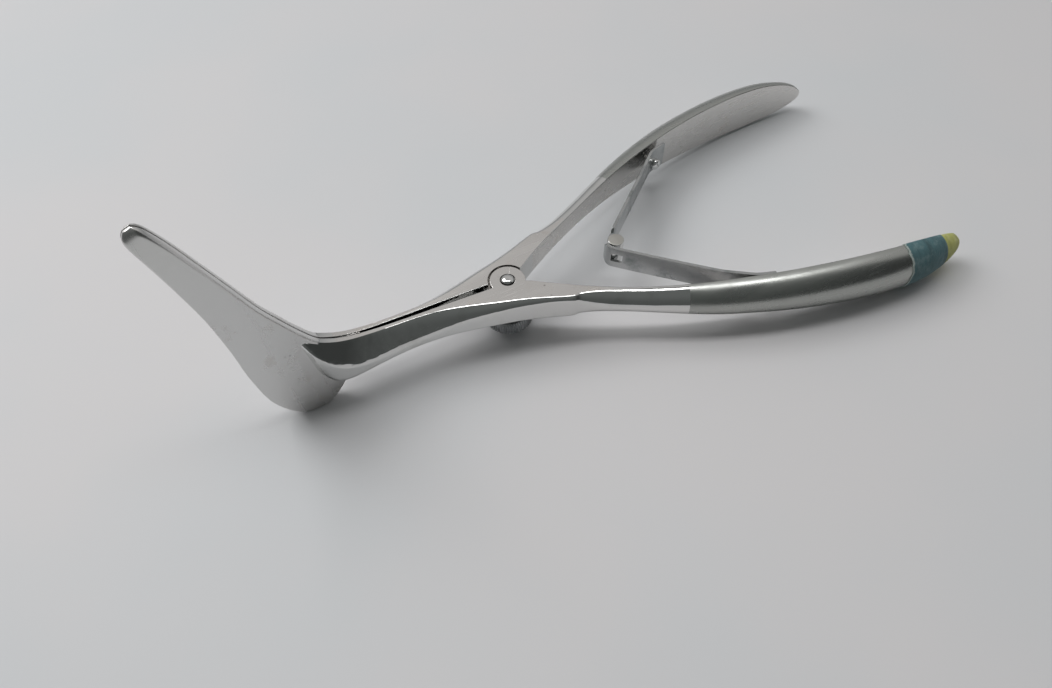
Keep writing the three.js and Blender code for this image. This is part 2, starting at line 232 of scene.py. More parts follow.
def grain_group() -> bpy.types.NodeTree:
    """Fine lines left by a brush or a grinding belt, along the stretched axis of its coordinates.

    Returns:
        A group that puts out the grain as a height and as a mask of stronger lines.
    """
    tree = new_group(
        "belt_grain",
        {"Vector": ("NodeSocketVector", None), "Scale": ("NodeSocketFloat", 900.0)},
        {"Height": "NodeSocketFloat", "Mask": "NodeSocketFloat"},
    )
    source, target = ends(tree)
    fine = noise_node(tree, source.outputs["Vector"], source.outputs["Scale"], 4.0, 0.6)
    coarse_scale = math_node(tree, "MULTIPLY", source.outputs["Scale"], 0.22)
    coarse = noise_node(tree, source.outputs["Vector"], coarse_scale, 3.0, 0.5)
    height = math_node(tree, "ADD", fine, coarse)
    tree.links.new(height, target.inputs["Height"])
    tree.links.new(range_node(tree, coarse, 0.45, 0.75, 0.0, 1.0), target.inputs["Mask"])
    return tree


def blotch_group() -> bpy.types.NodeTree:
    """Soft stains and handling marks.

    Returns:
        A group that puts out a mask of the stains.
    """
    tree = new_group(
        "handling_blotches",
        {
            "Vector": ("NodeSocketVector", None),
            "Scale": ("NodeSocketFloat", 120.0),
            "Cover": ("NodeSocketFloat", 0.4),
        },
        {"Mask": "NodeSocketFloat"},
    )
    source, target = ends(tree)
    cloud = noise_node(tree, source.outputs["Vector"], source.outputs["Scale"], 5.0, 0.62)
    low = math_node(tree, "SUBTRACT", 0.85, source.outputs["Cover"])
    high = math_node(tree, "ADD", low, 0.22)
    tree.links.new(range_node(tree, cloud, low, high, 0.0, 1.0), target.inputs["Mask"])
    return tree


def speck_group() -> bpy.types.NodeTree:
    """Small sharp specks and nicks.

    Returns:
        A group that puts out a mask of the specks.
    """
    tree = new_group(
        "wear_specks",
        {"Vector": ("NodeSocketVector", None), "Scale": ("NodeSocketFloat", 450.0)},
        {"Mask": "NodeSocketFloat"},
    )
    source, target = ends(tree)
    cells = tree.nodes.new("ShaderNodeTexVoronoi")
    tree.links.new(source.outputs["Vector"], cells.inputs["Vector"])
    tree.links.new(source.outputs["Scale"], cells.inputs["Scale"])
    rare_scale = math_node(tree, "MULTIPLY", source.outputs["Scale"], 0.35)
    rare = noise_node(tree, source.outputs["Vector"], rare_scale, 2.0)
    spot = range_node(tree, cells.outputs["Distance"], 0.05, 0.16, 1.0, 0.0)
    some = range_node(tree, rare, 0.62, 0.68, 0.0, 1.0)
    tree.links.new(math_node(tree, "MULTIPLY", spot, some), target.inputs["Mask"])
    return tree


def scratch_group() -> bpy.types.NodeTree:
    """Hairline polishing scratches in two crossing directions.

    Returns:
        A group that puts out a mask of the scratches.
    """
    tree = new_group(
        "hairline_scratches",
        {"Vector": ("NodeSocketVector", None), "Scale": ("NodeSocketFloat", 60.0)},
        {"Mask": "NodeSocketFloat"},
    )
    source, target = ends(tree)
    masks = []
    for turn, stretch in ((0.5, 26.0), (-0.85, 34.0)):
        mapping = tree.nodes.new("ShaderNodeMapping")
        mapping.inputs["Rotation"].default_value = (turn, turn * 0.4, turn)
        mapping.inputs["Scale"].default_value = (1.0, stretch, stretch)
        tree.links.new(source.outputs["Vector"], mapping.inputs["Vector"])
        lines = noise_node(tree, mapping.outputs["Vector"], source.outputs["Scale"], 2.0)
        masks.append(range_node(tree, lines, 0.66, 0.70, 0.0, 1.0))
    tree.links.new(math_node(tree, "MAXIMUM", *masks), target.inputs["Mask"])
    return tree


class Groups(Enum):
    """The shared effects, built once on first use."""

    GRAIN = "belt_grain"
    BLOTCH = "handling_blotches"
    SPECK = "wear_specks"
    SCRATCH = "hairline_scratches"

    def tree(self) -> bpy.types.NodeTree:
        """Returns the group's node tree, building it the first time."""
        makers = {
            Groups.GRAIN: grain_group,
            Groups.BLOTCH: blotch_group,
            Groups.SPECK: speck_group,
            Groups.SCRATCH: scratch_group,
        }
        return bpy.data.node_groups.get(self.value) or makers[self]()


def place_group(tree: bpy.types.NodeTree, group: Groups, vector, **values: float) -> bpy.types.Node:
    """Puts a shared effect in a material.

    Args:
        tree: The material's node tree.
        group: Which effect.
        vector: Socket of the coordinates it reads.
        **values: Its numeric inputs by name.

    Returns:
        The group node.
    """
    node = tree.nodes.new("ShaderNodeGroup")
    node.node_tree = group.tree()
    tree.links.new(vector, node.inputs["Vector"])
    for name, value in values.items():
        node.inputs[name].default_value = value
    return node


def blank_material(name: str) -> tuple[bpy.types.Material, bpy.types.NodeTree, bpy.types.Node]:
    """Makes a material that holds a Principled BSDF and its output.

    Args:
        name: The material's name.

    Returns:
        The material, its node tree and the Principled BSDF node.
    """
    material = bpy.data.materials.new(name)
    material.use_nodes = True
    return material, material.node_tree, material.node_tree.nodes["Principled BSDF"]


def object_vector(
    tree: bpy.types.NodeTree, scale: tuple = (1.0, 1.0, 1.0), turn: tuple = (0.0, 0.0, 0.0)
) -> bpy.types.NodeSocket:
    """Adds Object coordinates through a Mapping node.

    Args:
        tree: The material's node tree.
        scale: Stretch of the pattern on each axis.
        turn: Rotation of the pattern, in radians.

    Returns:
        The mapped vector's socket.
    """
    source = tree.nodes.new("ShaderNodeTexCoord")
    mapping = tree.nodes.new("ShaderNodeMapping")
    mapping.inputs["Rotation"].default_value = turn
    mapping.inputs["Scale"].default_value = scale
    tree.links.new(source.outputs["Object"], mapping.inputs["Vector"])
    return mapping.outputs["Vector"]


@dataclass(frozen=True)
class Steel:
    """A steel finish: base colour, gloss, grain direction and the marks of use."""

    name: str
    colour: tuple[float, float, float]
    stain: tuple[float, float, float]
    roughness: float
    rough_spread: float
    grain_stretch: tuple[float, float, float] = (0.06, 1.0, 1.0)
    grain_turn: float = 0.0
    grain_scale: float = 900.0
    grain_depth: float = 0.000004
    wave_scale: float = 90.0
    wave_depth: float = 0.0
    stain_scale: float = 130.0
    stain_cover: float = 0.3
    speck_strength: float = 0.0
    scratch_rough: float = 0.0

    def build(self) -> bpy.types.Material:
        """Returns the finish as a material."""
        material, tree, shader = blank_material(self.name)
        shader.inputs["Metallic"].default_value = 1.0
        plain = object_vector(tree)
        along = object_vector(tree, self.grain_stretch, (0.0, 0.0, self.grain_turn))
        grain = place_group(tree, Groups.GRAIN, along, Scale=self.grain_scale)
        blotch = place_group(
            tree, Groups.BLOTCH, plain, Scale=self.stain_scale, Cover=self.stain_cover
        )
        speck = place_group(tree, Groups.SPECK, plain)
        scratch = place_group(tree, Groups.SCRATCH, plain)
        stained = mix_colour(tree, blotch.outputs["Mask"], self.colour, self.stain)
        dark = tuple(channel * 0.35 for channel in self.stain)
        speckled = math_node(tree, "MULTIPLY", speck.outputs["Mask"], self.speck_strength)
        tree.links.new(mix_colour(tree, speckled, stained, dark), shader.inputs["Base Color"])
        rough = math_node(tree, "MULTIPLY", grain.outputs["Mask"], self.rough_spread)
        stain_rough = math_node(tree, "MULTIPLY", blotch.outputs["Mask"], self.rough_spread * 0.8)
        scratched = math_node(tree, "MULTIPLY", scratch.outputs["Mask"], self.scratch_rough)
        rough = math_node(tree, "ADD", rough, math_node(tree, "ADD", stain_rough, scratched))
        tree.links.new(math_node(tree, "ADD", rough, self.roughness), shader.inputs["Roughness"])
        fine = tree.nodes.new("ShaderNodeBump")
        fine.inputs["Strength"].default_value = 1.0
        fine.inputs["Distance"].default_value = self.grain_depth
        tree.links.new(grain.outputs["Height"], fine.inputs["Height"])
        wave = tree.nodes.new("ShaderNodeBump")
        wave.inputs["Strength"].default_value = 1.0
        wave.inputs["Distance"].default_value = self.wave_depth
        tree.links.new(noise_node(tree, plain, self.wave_scale, 1.0), wave.inputs["Height"])
        tree.links.new(fine.outputs["Normal"], wave.inputs["Normal"])
        tree.links.new(wave.outputs["Normal"], shader.inputs["Normal"])
        return material


@dataclass(frozen=True)
class Tape:
    """Fibrous marking tape: thread colour, worn colour and the pale frayed edge."""

    name: str
    colour: tuple[float, float, float]
    worn: tuple[float, float, float]
    edge: tuple[float, float, float]
    worn_cover: float = 0.36

    def build(self) -> bpy.types.Material:
        """Returns the tape as a material that reads the piece's fray attribute."""
        material, tree, shader = blank_material(self.name)
        shader.inputs["Roughness"].default_value = 0.82
        shader.inputs["Sheen Weight"].default_value = 0.15
        plain = object_vector(tree)
        threads = object_vector(tree, (1.0, 0.16, 0.16), (0.0, 0.0, 0.25))
        grain = place_group(tree, Groups.GRAIN, threads, Scale=2600.0)
        worn = place_group(tree, Groups.BLOTCH, plain, Scale=420.0, Cover=self.worn_cover)
        fray = tree.nodes.new("ShaderNodeAttribute")
        fray.attribute_name = "fray"
        ragged = noise_node(tree, plain, 1500.0, 4.0, 0.7)
        edge = range_node(tree, math_node(tree, "ADD", fray.outputs["Fac"], ragged), 1.0, 1.3, 0.0, 0.85)
        base = mix_colour(tree, grain.outputs["Mask"], self.colour, tuple(c * 0.62 for c in self.colour))
        base = mix_colour(tree, math_node(tree, "MULTIPLY", worn.outputs["Mask"], 0.75), base, self.worn)
        tree.links.new(mix_colour(tree, edge, base, self.edge), shader.inputs["Base Color"])
        bump = tree.nodes.new("ShaderNodeBump")
        bump.inputs["Distance"].default_value = 0.00012
        tree.links.new(math_node(tree, "ADD", grain.outputs["Height"], ragged), bump.inputs["Height"])
        tree.links.new(bump.outputs["Normal"], shader.inputs["Normal"])
        return material


BLADE_STEEL = Steel(
    "blade_satin_steel", (0.70, 0.69, 0.68), (0.64, 0.615, 0.59), 0.25, 0.10,
    grain_stretch=(1.0, 1.0, 0.08), grain_turn=0.0, grain_depth=0.0000025,
    stain_scale=150.0, stain_cover=0.33, speck_strength=0.9, scratch_rough=0.02, wave_depth=0.00002,
)
POLISHED_STEEL = Steel(
    "polished_steel", (0.72, 0.72, 0.71), (0.62, 0.62, 0.60), 0.045, 0.05,
    grain_depth=0.0000006, wave_scale=380.0, wave_depth=0.00005, stain_cover=0.32,
    speck_strength=0.35, scratch_rough=0.08,
)
JOINT_STEEL = Steel(
    "ground_joint_steel", (0.73, 0.71, 0.69), (0.66, 0.62, 0.58), 0.24, 0.07,
    grain_depth=0.0000016, stain_cover=0.3, speck_strength=0.6, scratch_rough=0.08,
)
GRIP_STEEL = Steel(
    "satin_grip_steel", (0.43, 0.44, 0.42), (0.35, 0.36, 0.335), 0.27, 0.10,
    grain_depth=0.0000035, grain_scale=1100.0, stain_cover=0.3, scratch_rough=0.08, wave_depth=0.00001,
)
SPRING_STEEL = Steel(
    "spring_steel", (0.48, 0.49, 0.49), (0.25, 0.27, 0.27), 0.17, 0.12,
    grain_depth=0.000002, stain_scale=160.0, stain_cover=0.38, speck_strength=0.5,
)
BARREL_STEEL = Steel(
    "barrel_end_steel", (0.47, 0.46, 0.43), (0.38, 0.36, 0.33), 0.36, 0.12,
    grain_stretch=(1.0, 1.0, 1.0), grain_scale=1600.0, grain_depth=0.000006, stain_cover=0.34,
)
SCREW_STEEL = Steel(
    "screw_steel", (0.74, 0.74, 0.73), (0.6, 0.6, 0.58), 0.07, 0.05, grain_depth=0.0000005,
    stain_cover=0.3,
)
NUT_STEEL = Steel(
    "nut_steel", (0.46, 0.47, 0.48), (0.28, 0.28, 0.28), 0.25, 0.12,
    grain_stretch=(1.0, 1.0, 0.1), grain_depth=0.000003, stain_cover=0.36,
)
TEAL_TAPE = Tape("teal_cloth", (0.060, 0.140, 0.155), (0.14, 0.225, 0.235), (0.42, 0.47, 0.44))
YELLOW_TAPE = Tape("yellow_cloth", (0.42, 0.43, 0.11), (0.52, 0.52, 0.22), (0.30, 0.36, 0.26))


# Mesh tools.


@dataclass(frozen=True)
class Bench:
    """Where the instrument's own axes lie in the row frame."""

    matrix: Matrix

    @classmethod
    def from_record(cls, record: dict) -> "Bench":
        """Works out the axes from the squeeze hinge, which lies in the middle of the joint.

        Args:
            record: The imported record.

        Returns:
            The bench, whose matrix takes instrument millimetres to row metres.
        """
        hinge = next(j for j in record["behaviour"]["joints"] if j["name"] == "squeeze")
        up = -Vector(hinge["axis"]).normalized()
        lean = Vector((0.0, 0.0, 1.0)).rotation_difference(up).to_matrix().to_4x4()
        drop = Matrix.Translation((0.0, 0.0, JOINT_DEPTH / 2))
        return cls(Matrix.Translation(hinge["pos_m"]) @ lean @ Matrix.Scale(MM, 4) @ drop)

    def point(self, x: float, y: float, z: float) -> Vector:
        """A point given in instrument millimetres, in the row frame.

        Args:
            x: Distance along the handles.
            y: Distance towards the right half.
            z: Height over the joint.

        Returns:
            The point in metres.
        """
        return self.matrix @ Vector((x, y, z))

    def heading(self, direction: Vector) -> Vector:
        """A direction in instrument axes, in the row frame.

        Args:
            direction: The direction in instrument axes.

        Returns:
            Its unit vector.
        """
        return (self.matrix.to_3x3() @ direction).normalized()

    def lay(self, bm: bmesh.types.BMesh, name: str, materials: list, smooth: bool = True) -> bpy.types.Object:
        """Turns a finished bmesh into an object in the row frame.

        Args:
            bm: The mesh in instrument millimetres. It is freed.
            name: The piece's name.
            materials: Its material slots, in order.
            smooth: Whether to shade it smooth with sharp edges by angle.

        Returns:
            The object, at the origin with its place in its mesh.
        """
        bm.transform(self.matrix)
        bmesh.ops.recalc_face_normals(bm, faces=bm.faces)
        mesh = bpy.data.meshes.new(name)
        bm.to_mesh(mesh)
        bm.free()
        for material in materials:
            mesh.materials.append(material)
        obj = bpy.data.objects.new(name, mesh)
        bpy.context.scene.collection.objects.link(obj)
        if smooth:
            shade(mesh)
        return obj


def shade(mesh: bpy.types.Mesh) -> None:
    """Shades a mesh smooth, with its steep edges sharp.

    Args:
        mesh: The mesh to shade.
    """
    mesh.polygons.foreach_set("use_smooth", [True] * len(mesh.polygons))
    mesh.set_sharp_from_angle(angle=SMOOTH_ANGLE)
    mesh.update()


def weigh_normals(obj: bpy.types.Object) -> None:
    """Keeps the broad flat faces flat where they meet small rounded ones.

    Args:
        obj: The piece that gets the modifier.
    """
    modifier = obj.modifiers.new("weighted_normals", "WEIGHTED_NORMAL")
    modifier.mode = "FACE_AREA_WITH_ANGLE"
    modifier.keep_sharp = True


def combine(obj: bpy.types.Object, tool: bpy.types.Object, operation: str) -> None:
    """Joins or cuts an object with a tool, which is then removed.

    Args:
        obj: The object to change.
        tool: The other solid.
        operation: "UNION" or "DIFFERENCE".
    """
    modifier = obj.modifiers.new("shape", "BOOLEAN")
    modifier.operation = operation
    modifier.solver = "EXACT"
    modifier.object = tool
    graph = bpy.context.evaluated_depsgraph_get()
    mesh = bpy.data.meshes.new_from_object(obj.evaluated_get(graph))
    obj.modifiers.clear()
    before = obj.data
    obj.data = mesh
    bpy.data.meshes.remove(before)
    bpy.data.objects.remove(tool)


def loft(bm: bmesh.types.BMesh, rings: list[list[Vector]], finishes: list[int] | None = None) -> None:
    """Draws a closed ring along a row of sections by extruding it from each to the next.

    Args:
        bm: The mesh to add to.
        rings: Points of each section, all with the same count.
        finishes: Material index of the skin that ends at each section, or None.
    """
    ring = bmesh.ops.create_circle(bm, segments=len(rings[0]), radius=1.0)["verts"]
    for vert, point in zip(ring, rings[0]):
        vert.co = point
    bmesh.ops.contextual_create(bm, geom=ring)
    for index, points in enumerate(rings[1:], start=1):
        edges = [bm.edges.get((a, b)) for a, b in zip(ring, ring[1:] + ring[:1])]
        made = bmesh.ops.extrude_edge_only(bm, edges=edges)["geom"]
        fresh = {g for g in made if isinstance(g, bmesh.types.BMVert)}
        ring = [next(e.other_vert(v) for e in v.link_edges if e.other_vert(v) in fresh) for v in ring]
        for vert, point in zip(ring, points):
            vert.co = point
        if finishes:
            for face in (g for g in made if isinstance(g, bmesh.types.BMFace)):
                face.material_index = finishes[index]
    bmesh.ops.contextual_create(bm, geom=ring)


def turned(bm: bmesh.types.BMesh, profile: list[tuple[float, float]], steps: int) -> None:
    """Spins an outline of (radius, height) points about +Z into a closed turned solid.

    Args:
        bm: The mesh to add to.
        profile: The outline, from the axis or an inner wall round to the other end.
        steps: Segments round the axis.
    """
    before = set(bm.verts)
    verts = [bm.verts.new((radius, 0.0, height)) for radius, height in profile]
    edges = [bm.edges.new(pair) for pair in zip(verts, verts[1:])]
    if profile[0][0] > 0:
        edges.append(bm.edges.new((verts[-1], verts[0])))
    bmesh.ops.spin(
        bm, geom=verts + edges, axis=(0, 0, 1), cent=(0, 0, 0), angle=math.tau, steps=steps, use_merge=True
    )
    added = [v for v in bm.verts if v not in before]
    bmesh.ops.remove_doubles(bm, verts=added, dist=1e-5)


def rounded(radius: float, bottom: float, top: float, edge: float) -> list[tuple[float, float]]:
    """The outline of a cylinder with rounded rims, from the axis at the bottom to the axis at the top.

    Args:
        radius: The cylinder's radius.
        bottom: Height of its bottom.
        top: Height of its top.
        edge: Radius of the rims.

    Returns:
        The outline as (radius, height) points.
    """
    turns = [math.radians(15 * i) for i in range(7)]
    low = [(radius - edge + edge * math.sin(a), bottom + edge - edge * math.cos(a)) for a in turns]
    high = [(radius - edge + edge * math.cos(a), top - edge + edge * math.sin(a)) for a in turns]
    return [(0.0, bottom), *low, *high, (0.0, top)]


# The hinge halves.


@dataclass
class Section:
    """One cross-section of a half, at right angles to its run."""

    inner_x: float
    inner_y: float
    outer_x: float
    outer_y: float
    top: float
    bottom: float
    bevel_across: float
    bevel_down: float
    lower_across: float
    lower_up: float
    fullness: float
    lean: float

    def outline(self, side: Side, grow: float = 0.0) -> list[Vector]:
        """Points round the section.

        Args:
            side: Which half it is on.
            grow: How far to move the outline outwards.

        Returns:
            The points, from the inner face's bottom corner up and round.
        """
        across = Vector((self.outer_x - self.inner_x, self.outer_y - self.inner_y))
        depth = across.length + 2 * grow
        across.normalize()
        top, bottom = self.top + grow, self.bottom - grow
        softness = min(max((self.inner_x - 10.0) / 8.0, 0.0), 1.0)
        corner = min(0.14 + 0.20 * softness + grow, depth * 0.12)
        upper = (min(self.bevel_across + grow, depth - corner - 0.06), self.bevel_down + grow)
        lower = (min(self.lower_across + grow, depth - corner - 0.06), self.lower_up + grow)
        tall = top - bottom - 0.06
        squeeze = min(1.0, tall / (upper[1] + lower[1]))
        upper = (upper[0], upper[1] * squeeze)
        lower = (lower[0], lower[1] * squeeze)
        points: list[tuple[float, float]] = []
        bend(points, (corner, bottom + corner), (corner, corner), (-90, -180), 4, 2.0)
        run(points, (0.0, top - corner), 4)
        bend(points, (corner, top - corner), (corner, corner), (180, 90), 4, 2.0)
        run(points, (depth - upper[0], top), 3)
        bend(points, (depth - upper[0], top - upper[1]), upper, (90, 0), 20, self.fullness)
        run(points, (depth, bottom + lower[1]), 3)
        bend(points, (depth - lower[0], bottom + lower[1]), lower, (0, -90), 12, 2.0)
        run(points, (corner, bottom), 3)
        middle = (self.top + self.bottom) / 2
        return [
            Vector((
                self.inner_x + across.x * (q - grow) - self.lean * (z - middle),
                side.value * (self.inner_y + across.y * (q - grow)),
                z,
            ))
            for q, z in points
        ]


def bend(points: list, centre: tuple, radii: tuple, turn: tuple, steps: int, fullness: float) -> None:
    """Adds a rounded corner to an outline.

    Args:
        points: The outline so far.
        centre: The corner's centre.
        radii: Its two radii.
        turn: Its first and last angle, in degrees.
        steps: Segments of the corner.
        fullness: 2 for an ellipse, less for a flatter bevel.
    """
    for index in range(steps + 1):
        angle = math.radians(turn[0] + (turn[1] - turn[0]) * index / steps)
        x, z = (math.copysign(abs(v) ** (2 / fullness), v) for v in (math.cos(angle), math.sin(angle)))
        points.append((centre[0] + radii[0] * x, centre[1] + radii[1] * z))


def run(points: list, end: tuple, steps: int) -> None:
    """Adds the points between the outline's last point and a straight side's end, without that end.

    Args:
        points: The outline so far.
        end: The straight side's end.
        steps: Segments of the side.
    """
    start = points[-1]
    for index in range(1, steps):
        share = index / steps
        points.append(tuple(a + (b - a) * share for a, b in zip(start, end)))


# Sections of the right half from the shank's nose to the handle's end: inner x and y, outer x and
# y, top, bottom, upper bevel across and down, lower rounding across and up, fullness, lean.
SECTIONS = [
    (-48.4, 0.15, -48.4, 1.7, 7.0, -6.0, 0.7, 2.6, 0.3, 1.6, 1.15, 0.18),
    (-46.8, 0.15, -46.8, 3.2, 6.0, -8.0, 2.0, 4.6, 0.4, 1.6, 1.12, 0.18),
    (-44.0, 0.17, -44.0, 4.4, 3.2, -9.1, 2.9, 6.0, 0.5, 1.5, 1.12, 0.15),
    (-39.5, 0.22, -39.5, 4.7, 0.9, -8.9, 3.3, 6.3, 0.5, 1.3, 1.12, 0.06),
    (-33.0, 0.32, -33.0, 4.5, 0.1, -7.8, 3.2, 5.9, 0.5, 1.0, 1.15, 0.0),
    (-26.0, 0.42, -26.0, 4.3, 0.0, -7.0, 3.0, 5.2, 0.5, 0.8, 1.25, 0.0),
    (-19.0, 0.50, -19.0, 4.5, 0.0, -6.6, 2.9, 4.4, 0.4, 0.6, 1.35, 0.0),
    (-12.0, 0.60, -12.0, 5.4, 0.0, -6.6, 2.6, 3.2, 0.4, 0.5, 1.6, 0.0),
    (-5.5, 0.70, -5.5, 6.7, 0.0, -6.6, 2.0, 2.3, 0.4, 0.5, 1.7, 0.0),
    (0.0, 0.80, 0.0, 7.9, 0.0, -6.6, 1.6, 1.8, 0.4, 0.5, 1.75, 0.0),
    (4.2, 2.10, 4.2, 9.1, 0.0, -6.6, 1.35, 1.5, 0.4, 0.5, 1.8, 0.0),
    (8.0, 4.60, 8.0, 10.4, 0.0, -6.6, 1.1, 1.25, 0.4, 0.5, 1.85, 0.0),
    (12.0, 7.00, 11.5, 11.8, 0.0, -6.6, 1.15, 1.5, 0.6, 0.8, 1.8, 0.0),
    (14.6, 8.50, 13.3, 12.2, -0.1, -6.5, 1.7, 2.2, 1.2, 1.5, 1.8, 0.0),
    (19.5, 11.10, 17.7, 14.4, -0.25, -6.35, 2.7, 3.5, 2.0, 2.2, 1.75, 0.0),
    (27.0, 14.95, 25.2, 18.3, -0.2, -6.4, 3.3, 3.8, 2.5, 2.3, 1.8, 0.0),
    (35.0, 18.70, 33.3, 22.6, 0.4, -7.0, 3.9, 4.3, 3.2, 2.9, 1.85, 0.0),
    (43.0, 21.90, 41.2, 26.6, 1.1, -7.7, 4.7, 4.9, 4.2, 3.8, 1.9, 0.0),
    (51.0, 24.60, 49.2, 29.9, 1.7, -8.3, 5.4, 5.3, 5.2, 4.7, 1.95, 0.0),
    (60.0, 27.20, 58.3, 32.9, 2.3, -8.9, 5.9, 5.7, 5.8, 5.5, 2.0, 0.0),
    (71.0, 29.50, 69.9, 35.5, 2.9, -9.5, 6.1, 6.2, 6.1, 6.2, 2.0, 0.0),
    (82.0, 31.00, 81.5, 37.0, 3.2, -9.8, 6.0, 6.5, 6.0, 6.5, 2.0, 0.0),
    (92.0, 31.60, 92.1, 37.1, 2.9, -9.5, 5.5, 6.2, 5.5, 6.2, 2.0, 0.0),
    (99.2, 31.50, 99.4, 35.8, 1.7, -8.3, 4.3, 5.0, 4.3, 5.0, 2.0, 0.0),
    (103.6, 31.20, 103.9, 34.3, 0.1, -6.7, 3.1, 3.4, 3.1, 3.4, 2.0, 0.0),
    (105.9, 30.90, 106.1, 32.9, -1.7, -4.9, 2.0, 1.6, 2.0, 1.6, 2.0, 0.0),
    (106.7, 31.00, 106.8, 31.9, -2.7, -3.9, 0.9, 0.6, 0.9, 0.6, 2.0, 0.0),
]

# Blade and heel plate: matching points of the back edge and the front edge, as x and z.
BLADE_BACK = [
    (-36.0, 0.0), (-40.5, 0.7), (-43.3, 1.9), (-45.6, 4.0), (-48.3, 7.9), (-51.3, 13.0), (-54.4, 18.7),
    (-58.0, 27.0), (-61.2, 34.3), (-64.1, 40.8), (-66.2, 44.9), (-67.5, 46.8), (-68.7, 47.6),
]
BLADE_FRONT = [
    (-36.0, -7.9), (-41.2, -12.8), (-46.3, -18.2), (-53.2, -18.9), (-58.7, -11.8), (-61.3, -1.0),
    (-62.6, 9.5), (-64.3, 20.0), (-66.5, 29.0), (-69.0, 37.8), (-70.6, 43.0), (-70.9, 45.4), (-70.1, 47.0),
]


def through(rows: list[tuple], place: float) -> list[float]:
    """Values between the rows of a table, on a Catmull-Rom curve through them.

    Args:
        rows: The table.
        place: Position in the table; 2.5 is halfway between rows 2 and 3.

    Returns:
        One value for each column.
    """
    last = len(rows) - 1
    index = min(int(place), last - 1)
    t = place - index
    a, b, c, d = (rows[min(max(index + k, 0), last)] for k in (-1, 0, 1, 2))
    return [
        q + 0.5 * t * (r - p + t * (2 * p - 5 * q + 4 * r - s + t * (3 * (q - r) + s - p)))
        for p, q, r, s in zip(a, b, c, d)
    ]


@dataclass
class Guide:
    """The run of sections along a half, sampled finely and faired for a clean reflection."""

    per_row: int = 8
    fairing: int = 5
    splay: float = 1.8
    splay_from: float = 50.0
    splay_to: float = 107.0
    samples: list = field(default_factory=list)

    def __post_init__(self) -> None:
        """Samples and fairs the table of sections."""
        count = (len(SECTIONS) - 1) * self.per_row
        rows = [through(SECTIONS, i / self.per_row) for i in range(count + 1)]
        for _ in range(self.fairing):
            middle = [
                [(p + 2 * q + r) / 4 for p, q, r in zip(*rows[i - 1 : i + 2])] for i in range(1, count)
            ]
            rows = [rows[0], *middle, rows[-1]]
        self.samples = rows

    def section(self, place: float, side: Side) -> Section:
        """The section at a place in the table of sections.

        Args:
            place: Position in the table.
            side: Which half; the left handle's end is set a little further out.

        Returns:
            The section.
        """
        position = min(place * self.per_row, len(self.samples) - 1.001)
        index = int(position)
        share = position - index
        values = [a + (b - a) * share for a, b in zip(self.samples[index], self.samples[index + 1])]
        if side is Side.LEFT:
            t = min(max((values[0] - self.splay_from) / (self.splay_to - self.splay_from), 0.0), 1.0)
            shift = self.splay * t * t * (3 - 2 * t)
            values[1] += shift
            values[3] += shift
        return Section(*values)

    def rings(self, side: Side, start: float, end: float, step: float, grow: float = 0.0) -> list:
        """Outlines from one place in the table to another.

        Args:
            side: Which half.
            start: First place.
            end: Last place.
            step: Spacing, in rows of the table.
            grow: How far to move the outlines outwards.

        Returns:
            One outline for each place.
        """
        count = round((end - start) / step)
        places = [start + (end - start) * i / count for i in range(count + 1)]
        return [self.section(place, side).outline(side, grow) for place in places]


